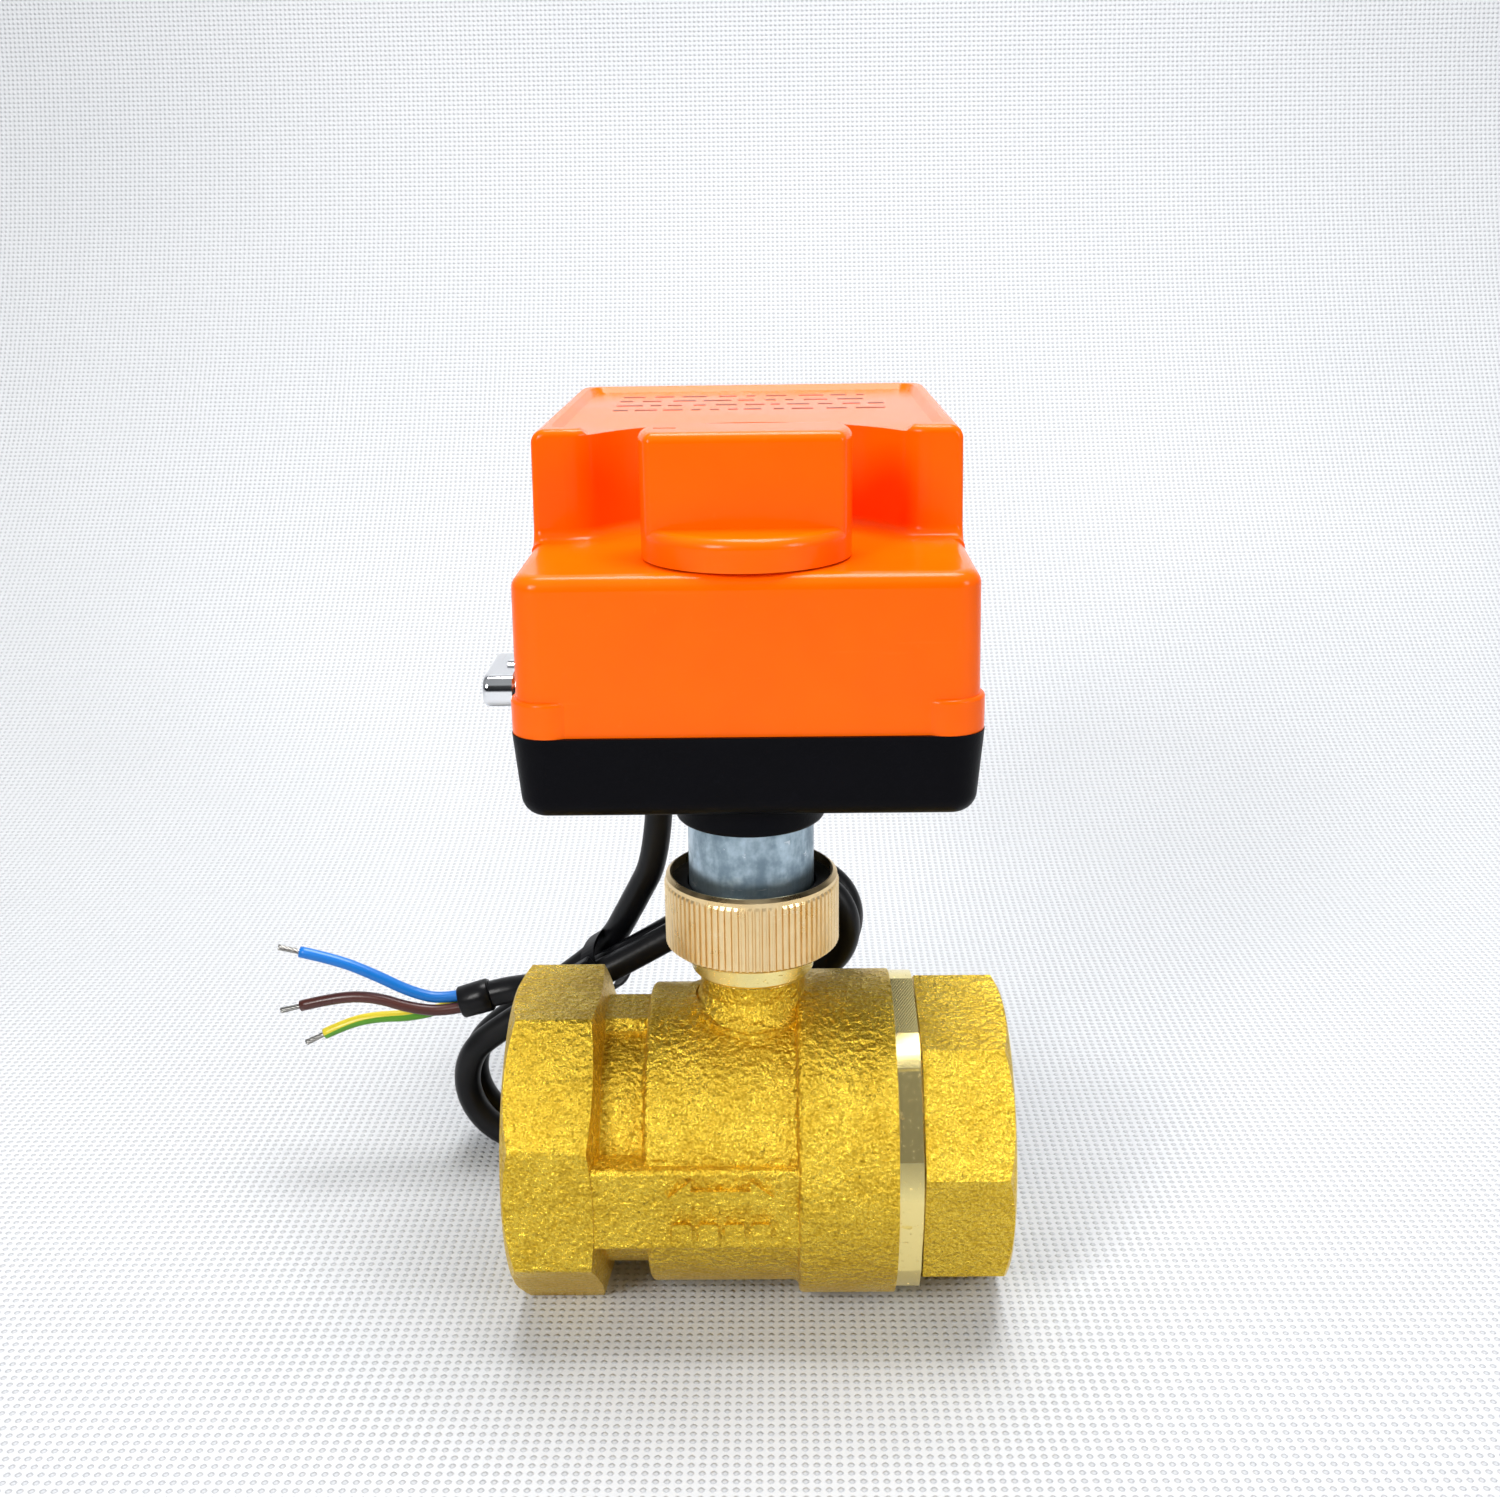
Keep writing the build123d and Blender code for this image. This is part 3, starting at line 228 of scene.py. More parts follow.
class EffectLibrary:
    """Builds each shared node group once and places it in materials."""

    def __init__(self) -> None:
        """Build every group."""
        self.groups = {
            Effect.CAST_GRAIN: self.cast_grain(),
            Effect.FINE_GRAIN: self.fine_grain(),
            Effect.SCUFFS: self.scuffs(),
            Effect.DUST: self.dust(),
            Effect.TURNING: self.turning(),
            Effect.ZONE: self.zone(),
        }

    @staticmethod
    def start(effect: Effect, inputs: dict[str, float], outputs: tuple[str, ...],
              ) -> tuple[Net, dict[str, Socket], dict[str, Socket]]:
        """Open a new group with named value sockets.

        Args:
            effect: which group it is.
            inputs: input names with their default values.
            outputs: output names.

        Returns:
            The net, the input sockets and the output sockets, by name.
        """
        tree = bpy.data.node_groups.new(effect.value, "ShaderNodeTree")
        for name, value in inputs.items():
            socket = tree.interface.new_socket(name, in_out="INPUT", socket_type="NodeSocketFloat")
            socket.default_value = value
        for name in outputs:
            tree.interface.new_socket(name, in_out="OUTPUT", socket_type="NodeSocketFloat")
        source = tree.nodes.new("NodeGroupInput")
        target = tree.nodes.new("NodeGroupOutput")
        ins = {socket.name: socket for socket in source.outputs if socket.name}
        outs = {socket.name: socket for socket in target.inputs if socket.name}
        return Net(tree), ins, outs

    def cast_grain(self) -> bpy.types.NodeTree:
        """Sand-cast skin: lumpy tone, fine sand height and dark pits."""
        net, ins, outs = self.start(Effect.CAST_GRAIN, {"Sand": 1600.0, "Cloud": 140.0, "Pits": 0.66},
                                    ("Tone", "Height", "Pits"))
        here = net.here()
        sand = net.noise(here, ins["Sand"], 3.0, 0.65)
        cloud = net.noise(here, ins["Cloud"], 3.0, 0.6)
        lumps = net.noise(here, net.times(ins["Sand"], 0.42), 1.0, 0.5)
        tone = net.plus(net.times(sand, 0.72), net.times(cloud, 0.28))
        net.feed(outs["Tone"], net.remap(tone, 0.36, 0.64))
        height = net.plus(net.times(sand, 0.5), net.times(lumps, 1.1))
        net.feed(outs["Height"], height)
        specks = net.noise(here, net.times(ins["Sand"], 0.7), 2.0, 0.7)
        net.feed(outs["Pits"], net.remap(specks, ins["Pits"], net.plus(ins["Pits"], 0.07)))
        return net.tree

    def fine_grain(self) -> bpy.types.NodeTree:
        """Even moulded or blasted texture."""
        net, ins, outs = self.start(Effect.FINE_GRAIN, {"Scale": 2500.0, "Cloud": 60.0},
                                    ("Tone", "Height"))
        here = net.here()
        net.feed(outs["Height"], net.noise(here, ins["Scale"], 2.0, 0.5))
        net.feed(outs["Tone"], net.remap(net.noise(here, ins["Cloud"], 3.0, 0.55), 0.3, 0.7))
        return net.tree

    def scuffs(self) -> bpy.types.NodeTree:
        """Thin handling scratches that run in a few directions."""
        net, ins, outs = self.start(Effect.SCUFFS, {"Scale": 300.0, "Amount": 0.5}, ("Mask",))
        here = net.here()
        masks = []
        for stretch in ((1.0, 0.06, 0.9), (0.05, 0.9, 1.0), (0.8, 1.0, 0.07)):
            streak = net.noise(net.stretched(here, stretch), ins["Scale"], 4.0, 0.7)
            masks.append(net.remap(streak, 0.66, 0.70))
        total = net.math("MAXIMUM", net.math("MAXIMUM", masks[0], masks[1]), masks[2])
        net.feed(outs["Mask"], net.times(total, ins["Amount"], clamp=True))
        return net.tree

    def dust(self) -> bpy.types.NodeTree:
        """Light dust on faces that look up."""
        net, ins, outs = self.start(Effect.DUST, {"Scale": 500.0, "Amount": 0.2}, ("Mask",))
        normal = net.add("SeparateXYZ")
        net.feed(normal.inputs[0], net.add("NewGeometry").outputs["Normal"])
        up = net.remap(normal.outputs[2], 0.5, 1.0)
        specks = net.remap(net.noise(net.here(), ins["Scale"], 4.0, 0.75), 0.52, 0.75)
        net.feed(outs["Mask"], net.times(net.times(up, specks), ins["Amount"]))
        return net.tree

    def turning(self) -> bpy.types.NodeTree:
        """Fine feed marks of a lathe along one coordinate."""
        net, ins, outs = self.start(Effect.TURNING, {"Along": 0.0, "Pitch": 0.00025}, ("Height",))
        turns = net.math("DIVIDE", ins["Along"], ins["Pitch"])
        wave = net.math("SINE", net.times(turns, math.tau))
        net.feed(outs["Height"], net.math("MULTIPLY_ADD", wave, 0.5, 0.5))
        return net.tree

    def zone(self) -> bpy.types.NodeTree:
        """One between two values, and nothing outside them."""
        net, ins, outs = self.start(Effect.ZONE,
                                    {"Value": 0.0, "Low": 0.0, "High": 1.0, "Soft": 0.0002}, ("Mask",))
        above = net.math("DIVIDE", net.minus(ins["Value"], ins["Low"]), ins["Soft"], clamp=True)
        below = net.math("DIVIDE", net.minus(ins["High"], ins["Value"]), ins["Soft"], clamp=True)
        net.feed(outs["Mask"], net.times(above, below))
        return net.tree

    def place(self, net: Net, effect: Effect, **values: object) -> bpy.types.Node:
        """Place a group in a material with its own values.

        Args:
            net: the material's net.
            effect: which group.
            **values: numbers or sockets for the group's inputs.

        Returns:
            The group node.
        """
        node = net.add("Group", node_tree=self.groups[effect])
        for name, value in values.items():
            net.feed(node.inputs[name], value)
        return node


# ---- finishes
@dataclass(frozen=True)
class Finish:
    """What every finish shares: its name and the numbers of its shader."""

    name: str
    color: Color
    shade: Color
    metallic: float = 0.0
    roughness: float = 0.4
    rough_spread: float = 0.1
    bump_mm: float = 0.02
    grain: float = 2500.0
    cloud: float = 60.0
    coat: float = 0.0
    scuffs: float = 0.0
    scuff_color: Color = (0.8, 0.8, 0.8)
    dust: float = 0.0
    specular: float = 0.5

    def open(self) -> tuple[bpy.types.Material, Net, bpy.types.Node]:
        """Start the material.

        Returns:
            The material, its net and its Principled shader.
        """
        material = bpy.data.materials.new(self.name)
        material.use_nodes = True
        net = Net(material.node_tree)
        shader = material.node_tree.nodes["Principled BSDF"]
        shader.inputs["Metallic"].default_value = self.metallic
        shader.inputs["Coat Weight"].default_value = self.coat
        shader.inputs["Coat Roughness"].default_value = 0.12
        shader.inputs["Specular IOR Level"].default_value = self.specular
        material.diffuse_color = (*self.color, 1.0)
        return material, net, shader

    def bump(self, net: Net, shader: bpy.types.Node, height: object, depth_mm: float) -> None:
        """Feed a height to the shader's normal."""
        node = net.add("Bump")
        node.inputs["Strength"].default_value = 1.0
        node.inputs["Distance"].default_value = depth_mm * MM
        net.feed(node.inputs["Height"], height)
        net.feed(shader.inputs["Normal"], node.outputs["Normal"])

    def build(self, effects: EffectLibrary) -> bpy.types.Material:
        """Make the material.

        Args:
            effects: the shared node groups.

        Returns:
            The finished material.
        """
        material, net, shader = self.open()
        grain = effects.place(net, Effect.FINE_GRAIN, Scale=self.grain, Cloud=self.cloud)
        color = net.mix(grain.outputs["Tone"], self.shade, self.color)
        rough = net.remap(grain.outputs["Tone"], 0.0, 1.0, self.roughness - self.rough_spread / 2,
                          self.roughness + self.rough_spread / 2)
        if self.scuffs:
            marks = effects.place(net, Effect.SCUFFS, Scale=320.0, Amount=self.scuffs)
            color = net.mix(marks.outputs["Mask"], color, self.scuff_color)
            rough = net.plus(rough, net.times(marks.outputs["Mask"], 0.2), clamp=True)
        if self.dust:
            dust = effects.place(net, Effect.DUST, Amount=self.dust)
            color = net.mix(dust.outputs["Mask"], color, (0.75, 0.73, 0.7))
            rough = net.plus(rough, net.times(dust.outputs["Mask"], 0.4), clamp=True)
        net.feed(shader.inputs["Base Color"], color)
        net.feed(shader.inputs["Roughness"], rough)
        self.bump(net, shader, grain.outputs["Height"], self.bump_mm)
        return material


@dataclass(frozen=True)
class CastBrass(Finish):
    """Sand-cast brass with machined stretches, given as ranges along the axes."""

    machined: Color = (0.96, 0.80, 0.34)
    pit_color: Color = (0.16, 0.085, 0.015)
    flow_zones: tuple[tuple[float, float], ...] = ()
    stem_zone: tuple[float, float] = (0.0299, 0.0400)
    bore_radius: float = 0.0200

    def build(self, effects: EffectLibrary) -> bpy.types.Material:
        """Make the material with its cast and machined areas."""
        material, net, shader = self.open()
        axes = net.add("SeparateXYZ")
        net.feed(axes.inputs[0], net.here())
        x, y, z = axes.outputs
        radius = net.math("SQRT", net.plus(net.times(y, y), net.times(z, z)))
        masks = [effects.place(net, Effect.ZONE, Value=radius, Low=-1.0,
                               High=self.bore_radius).outputs[0],
                 effects.place(net, Effect.ZONE, Value=z, Low=self.stem_zone[0],
                               High=self.stem_zone[1]).outputs[0]]
        for low, high in self.flow_zones:
            masks.append(effects.place(net, Effect.ZONE, Value=x, Low=low, High=high,
                                       Soft=0.0001).outputs[0])
        machined = masks[0]
        for mask in masks[1:]:
            machined = net.math("MAXIMUM", machined, mask)
        cast = effects.place(net, Effect.CAST_GRAIN, Sand=self.grain, Cloud=self.cloud)
        turning = effects.place(net, Effect.TURNING, Along=net.plus(x, z))
        skin = net.mix(cast.outputs["Tone"], self.shade, self.color)
        skin = net.mix(net.times(cast.outputs["Pits"], 0.8), skin, self.pit_color)
        marks = effects.place(net, Effect.SCUFFS, Scale=260.0, Amount=0.45)
        bright = net.mix(marks.outputs["Mask"], self.machined, self.color)
        net.feed(shader.inputs["Base Color"], net.mix(machined, skin, bright))
        cast_rough = net.remap(cast.outputs["Tone"], 0.0, 1.0, self.roughness + self.rough_spread / 2,
                               self.roughness - self.rough_spread / 2)
        smooth_rough = net.plus(0.16, net.times(marks.outputs["Mask"], 0.25))
        blend = net.add("Mix", data_type="FLOAT")
        for index, item in enumerate((machined, cast_rough, smooth_rough)):
            net.feed(blend.inputs[(0, 2, 3)[index]], item)
        net.feed(shader.inputs["Roughness"], blend.outputs[0])
        coarse = net.times(cast.outputs["Height"], net.minus(1.0, machined))
        coarse = net.minus(coarse, net.times(cast.outputs["Pits"], 0.25))
        fine = net.times(net.times(turning.outputs["Height"], machined), 0.03)
        self.bump(net, shader, net.plus(coarse, fine), self.bump_mm)
        return material


@dataclass(frozen=True)
class ZincPlate(Finish):
    """Zinc plating with soft vertical clouds."""

    def build(self, effects: EffectLibrary) -> bpy.types.Material:
        """Make the material."""
        material, net, shader = self.open()
        here = net.here()
        streaks = net.noise(net.stretched(here, (1.0, 1.0, 0.35)), 170.0, 4.0, 0.65)
        blotch = net.noise(here, 420.0, 3.0, 0.6)
        tone = net.remap(net.plus(net.times(streaks, 0.6), net.times(blotch, 0.4)), 0.36, 0.64)
        marks = effects.place(net, Effect.SCUFFS, Scale=380.0, Amount=0.5)
        color = net.mix(tone, self.shade, self.color)
        net.feed(shader.inputs["Base Color"], net.mix(marks.outputs["Mask"], color, (0.9, 0.93, 0.95)))
        net.feed(shader.inputs["Roughness"], net.remap(tone, 0.0, 1.0, self.roughness + 0.08,
                                                       self.roughness - 0.06))
        self.bump(net, shader, net.plus(blotch, net.times(streaks, 0.5)), self.bump_mm)
        return material


@dataclass(frozen=True)
class StripedCore(Finish):
    """Insulation in two colours, split along the core by its UV map."""

    stripe: Color = (0.85, 0.65, 0.02)

    def build(self, effects: EffectLibrary) -> bpy.types.Material:
        """Make the material."""
        material, net, shader = self.open()
        split = net.add("SeparateXYZ")
        net.feed(split.inputs[0], net.add("UVMap", uv_map=UV_NAME).outputs[0])
        turn = net.math("FRACT", net.plus(split.outputs[1], net.times(split.outputs[0], 0.05)))
        band = effects.place(net, Effect.ZONE, Value=turn, Low=0.28, High=0.66, Soft=0.02)
        grain = effects.place(net, Effect.FINE_GRAIN, Scale=self.grain, Cloud=self.cloud)
        green = net.mix(grain.outputs["Tone"], self.shade, self.color)
        net.feed(shader.inputs["Base Color"], net.mix(band.outputs[0], green, self.stripe))
        shader.inputs["Roughness"].default_value = self.roughness
        self.bump(net, shader, grain.outputs["Height"], self.bump_mm)
        return material


FINISHES: dict[str, Finish] = {
    "brass_cast": CastBrass(
        "cast_brass_body", (0.93, 0.65, 0.07), (0.56, 0.34, 0.02), metallic=1.0, roughness=0.34,
        rough_spread=0.16, bump_mm=0.55, grain=2300.0, cloud=150.0),
    "brass_cap": CastBrass(
        "cast_brass_cap", (0.93, 0.65, 0.075), (0.58, 0.36, 0.022), metallic=1.0, roughness=0.33,
        rough_spread=0.16, bump_mm=0.48, cloud=120.0, flow_zones=((-1.0, 0.02665), (0.0406, 1.0)),
        stem_zone=(1.0, 2.0)),
    "brass_turned": Finish(
        "turned_brass", (0.86, 0.64, 0.24), (0.78, 0.55, 0.18), metallic=1.0, roughness=0.2,
        bump_mm=0.01, grain=3000.0, scuffs=0.4),
    "brass_nut": Finish(
        "satin_brass_nut", (0.9, 0.7, 0.4), (0.82, 0.6, 0.3), metallic=1.0, roughness=0.34,
        rough_spread=0.14, bump_mm=0.03, grain=3200.0, cloud=220.0, scuffs=0.5,
        scuff_color=(0.95, 0.82, 0.6)),
    "zinc": ZincPlate(
        "zinc_plated_tube", (0.48, 0.6, 0.68), (0.2, 0.28, 0.34), metallic=0.9, roughness=0.36,
        bump_mm=0.06),
    "steel": Finish(
        "bright_steel", (0.62, 0.63, 0.65), (0.5, 0.51, 0.53), metallic=1.0, roughness=0.25,
        bump_mm=0.01, grain=3000.0, scuffs=0.4),
    "orange_plastic": Finish(
        "orange_moulding", (0.98, 0.132, 0.0), (0.93, 0.118, 0.0), roughness=0.2, rough_spread=0.06,
        bump_mm=0.012, grain=1300.0, cloud=45.0, coat=0.08, scuffs=0.04, scuff_color=(1.0, 0.3, 0.05),
        specular=0.12),
    "black_plastic": Finish(
        "black_moulding", (0.0016, 0.0016, 0.003), (0.001, 0.001, 0.002), roughness=0.42, bump_mm=0.03,
        grain=2600.0, cloud=80.0, scuffs=0.04, scuff_color=(0.02, 0.02, 0.03), dust=0.004,
        specular=0.07),
    "chrome": Finish(
        "polished_chrome", (0.86, 0.87, 0.89), (0.78, 0.79, 0.82), metallic=1.0, roughness=0.08,
        rough_spread=0.05, bump_mm=0.004, grain=1800.0, scuffs=0.3, scuff_color=(0.6, 0.6, 0.62)),
    "rubber": Finish(
        "black_rubber", (0.012, 0.012, 0.013), (0.007, 0.007, 0.008), roughness=0.6, rough_spread=0.15,
        bump_mm=0.03, grain=2200.0, dust=0.1),
    "ptfe": Finish("white_seat", (0.86, 0.86, 0.84), (0.8, 0.8, 0.77), roughness=0.45, bump_mm=0.01),
    "gear_plastic": Finish("ivory_nylon", (0.78, 0.74, 0.63), (0.72, 0.67, 0.55), bump_mm=0.015),
    "plate_metal": Finish(
        "rolled_plate", (0.72, 0.73, 0.75), (0.62, 0.63, 0.66), metallic=1.0, roughness=0.33,
        rough_spread=0.12, grain=2800.0, scuffs=0.5),
    "winding": Finish(
        "copper_winding", (0.72, 0.3, 0.12), (0.55, 0.2, 0.07), metallic=0.9, roughness=0.35,
        bump_mm=0.08, grain=1500.0),
    "board": Finish(
        "board_lacquer", (0.03, 0.26, 0.09), (0.02, 0.2, 0.07), roughness=0.3, grain=1500.0,
        cloud=300.0),
    "component": Finish("component_case", (0.03, 0.035, 0.09), (0.02, 0.025, 0.07)),
    "terminal": Finish("terminal_green", (0.05, 0.32, 0.12), (0.04, 0.27, 0.1), roughness=0.42),
    "jacket": Finish(
        "cable_jacket", (0.008, 0.008, 0.009), (0.004, 0.004, 0.005), roughness=0.36, rough_spread=0.12,
        bump_mm=0.03, grain=1200.0, cloud=90.0, scuffs=0.05, scuff_color=(0.05, 0.05, 0.05),
        specular=0.2),
    "core_blue": Finish("blue_core", (0.0, 0.17, 0.6), (0.0, 0.13, 0.5), roughness=0.32, grain=1500.0),
    "core_brown": Finish(
        "brown_core", (0.085, 0.018, 0.012), (0.06, 0.012, 0.008), roughness=0.32, grain=1500.0),
    "core_earth": StripedCore(
        "green_yellow_core", (0.1, 0.36, 0.01), (0.08, 0.3, 0.01), roughness=0.32, grain=1500.0,
        stripe=(0.8, 0.66, 0.03)),
    "tinned": Finish(
        "tinned_strand", (0.45, 0.44, 0.42), (0.3, 0.29, 0.27), metallic=1.0, roughness=0.35,
        rough_spread=0.15, grain=3000.0),
    "print": Finish(
        "panel_ink", (0.12, 0.022, 0.004), (0.1, 0.018, 0.003), roughness=0.5, bump_mm=0.005,
        grain=3000.0),
}


class Paint:
    """All materials, each built once, and how the pieces get them."""

    def __init__(self) -> None:
        """Build the effects and every finish."""
        effects = EffectLibrary()
        self.materials = {key: finish.build(effects) for key, finish in FINISHES.items()}

    def dress(self, piece: bpy.types.Object, key: str) -> None:
        """Give a piece one material in its first slot."""
        piece.data.materials.clear()
        piece.data.materials.append(self.materials[key])

    def dress_nodes(self, frame: dict) -> None:
        """Give each CAD node the finish of its record slot.

        Args:
            frame: what the frame loader returned.
        """
        special = {"end_cap": "brass_cap"}
        for row in frame["record"]["subparts"]:
            piece = frame["nodes"][row["node"]]
            self.dress(piece, special.get(row["node"], row["material_slot"]))


# ---- mesh helpers
def uv_layer(mesh: bmesh.types.BMesh) -> bmesh.types.BMLayerItem:
    """Return the mesh's one UV map, which the materials ask for by name."""
    layers = mesh.loops.layers.uv
    return layers.get(UV_NAME) or layers.new(UV_NAME)


def new_piece(name: str, mesh: bmesh.types.BMesh, smooth: bool = True) -> bpy.types.Object:
    """Turn a bmesh into an object at the origin.

    Args:
        name: the piece's name.
        mesh: the finished bmesh, which is freed.
        smooth: whether its faces are shaded smooth.

    Returns:
        The new object.
    """
    bmesh.ops.recalc_face_normals(mesh, faces=mesh.faces)
    data = bpy.data.meshes.new(name)
    mesh.to_mesh(data)
    mesh.free()
    if smooth:
        data.polygons.foreach_set("use_smooth", [True] * len(data.polygons))
    piece = bpy.data.objects.new(name, data)
    bpy.context.scene.collection.objects.link(piece)
    return piece


def add_box(mesh: bmesh.types.BMesh, low: Vector, high: Vector, round_edge: float = 0.0,
            place: Matrix | None = None) -> None:
    """Add a box between two corners, with rounded edges, to a bmesh.

    Args:
        mesh: the bmesh to add to.
        low: lowest corner.
        high: highest corner.
        round_edge: radius of the edges.
        place: where the finished box goes.
    """
    made = bmesh.ops.create_cube(mesh, size=1.0)["verts"]
    size = high - low
    bmesh.ops.scale(mesh, vec=size, verts=made)
    bmesh.ops.translate(mesh, vec=(low + high) / 2, verts=made)
    if round_edge:
        edges = list({edge for vert in made for edge in vert.link_edges})
        done = bmesh.ops.bevel(mesh, geom=edges, offset=round_edge, segments=3, affect="EDGES",
                               profile=0.5, material=-1)
        made = list({vert for face in done["faces"] for vert in face.verts})
    if place is not None:
        bmesh.ops.transform(mesh, matrix=place, verts=made)


def add_tube(mesh: bmesh.types.BMesh, path: list[Vector], radius: float, around: int) -> None:
    """Add a closed tube along a path, with UVs: centimetres along, turns around.

    Args:
        mesh: the bmesh to add to.
        path: points of the centre line.
        radius: radius of the tube.
        around: vertices in the ring.
    """
    layer = uv_layer(mesh)
    heading = (path[1] - path[0]).normalized()
    side = heading.orthogonal().normalized()
    rings: list[list[bmesh.types.BMVert]] = []
    for index, point in enumerate(path):
        ahead = (path[min(index + 1, len(path) - 1)] - path[max(index - 1, 0)]).normalized()
        side = (side - ahead * side.dot(ahead)).normalized()
        up = ahead.cross(side)
        ring = []
        for step in range(around):
            angle = math.tau * step / around
            ring.append(mesh.verts.new(point + (side * math.cos(angle) + up * math.sin(angle))
                                       * radius))
        rings.append(ring)
    gone = 0.0
    for index, (first, second) in enumerate(zip(rings, rings[1:])):
        step_length = (path[index + 1] - path[index]).length
        for k in range(around):
            after = (k + 1) % around
            face = mesh.faces.new((first[k], first[after], second[after], second[k]))
            along = (gone, gone, gone + step_length, gone + step_length)
            turn = (k / around, (k + 1) / around, (k + 1) / around, k / around)
            for loop, u, v in zip(face.loops, along, turn):
                loop[layer].uv = (u / UV_UNIT, v)
        gone += step_length
    mesh.faces.new(list(reversed(rings[0])))
    mesh.faces.new(rings[-1])


# ---- lead
@dataclass
class Route:
    """A free cord's control points and what it is."""

    name: str
    points: list[Vector]
    radius: float

    def curve(self, bevel: bool) -> bpy.types.Object:
        """Make the cord's curve, a NURBS spline on its control points.

        Args:
            bevel: whether the curve has its thickness.

        Returns:
            The curve object.
        """
        data = bpy.data.curves.new(self.name, "CURVE")
        data.dimensions = "3D"
        data.resolution_u = 12
        data.use_fill_caps = True
        if bevel:
            data.bevel_depth = self.radius
            data.bevel_resolution = 6
        spline = data.splines.new("NURBS")
        spline.points.add(len(self.points) - 1)
        for item, point in zip(spline.points, self.points):
            item.co = (*point, 1.0)
        spline.order_u = 3
        spline.use_endpoint_u = True
        piece = bpy.data.objects.new(self.name, data)
        bpy.context.scene.collection.objects.link(piece)
        return piece

    def centreline(self) -> list[Vector]:
        """Points along the spline, read from the curve without its thickness."""
        bare = self.curve(bevel=False)
        bpy.context.view_layer.update()
        graph = bpy.context.evaluated_depsgraph_get()
        mesh = bpy.data.meshes.new_from_object(bare.evaluated_get(graph))
        points = [vert.co.copy() for vert in mesh.vertices]
        data = bare.data
        bpy.data.objects.remove(bare)
        bpy.data.curves.remove(data)
        bpy.data.meshes.remove(mesh)
        return points

    @staticmethod
    def length_of(points: list[Vector]) -> float:
        """Length of a line of points."""
        return sum((b - a).length for a, b in zip(points, points[1:]))


@dataclass
class Hank:
    """Upright plane and turns of the wound lead behind the valve."""

    left: Vector = field(default_factory=lambda: metres((-43.8, 38.0, -11.0)))
    right: Vector = field(default_factory=lambda: metres((7.8, 30.2, 25.0)))
    left_radius: float = 12.0 * MM
    right_radius: float = 9.2 * MM
    tie_place: float = 28.0 * MM
    arc_steps: int = 6
    tighten: float = 1.017

    def __post_init__(self) -> None:
        """Work out the plane's directions."""
        self.length = (self.right - self.left).length
        self.along = (self.right - self.left).normalized()
        self.front = self.along.cross(Vector((0, 0, 1))).normalized()
        self.across = self.front.cross(self.along)

    def at(self, along: float, across: float, front: float) -> Vector:
        """Point in the hank's plane, in metres from its left end."""
        return self.left + self.along * along + self.across * across + self.front * front

    def turn(self, front_start: float, front_end: float) -> list[Vector]:
        """One turn: round the left end, along the bottom and round the right end.

        Args:
            front_start: depth of the strand where the turn starts.
            front_end: depth where it ends.

        Returns:
            The turn's control points.
        """
        points = []
        count = 2 * (self.arc_steps + 1)
        for end, (centre, radius) in enumerate(((0.0, self.left_radius),
                                                (self.length, self.right_radius))):
            for step in range(self.arc_steps + 1):
                angle = math.radians(90 + 180 * end + 180 * step / self.arc_steps)
                reach = radius * self.tighten
                share = (end * (self.arc_steps + 1) + step) / (count - 1)
                depth = front_start + (front_end - front_start) * share
                points.append(self.at(centre + reach * math.cos(angle), reach * math.sin(angle), depth))
        return points


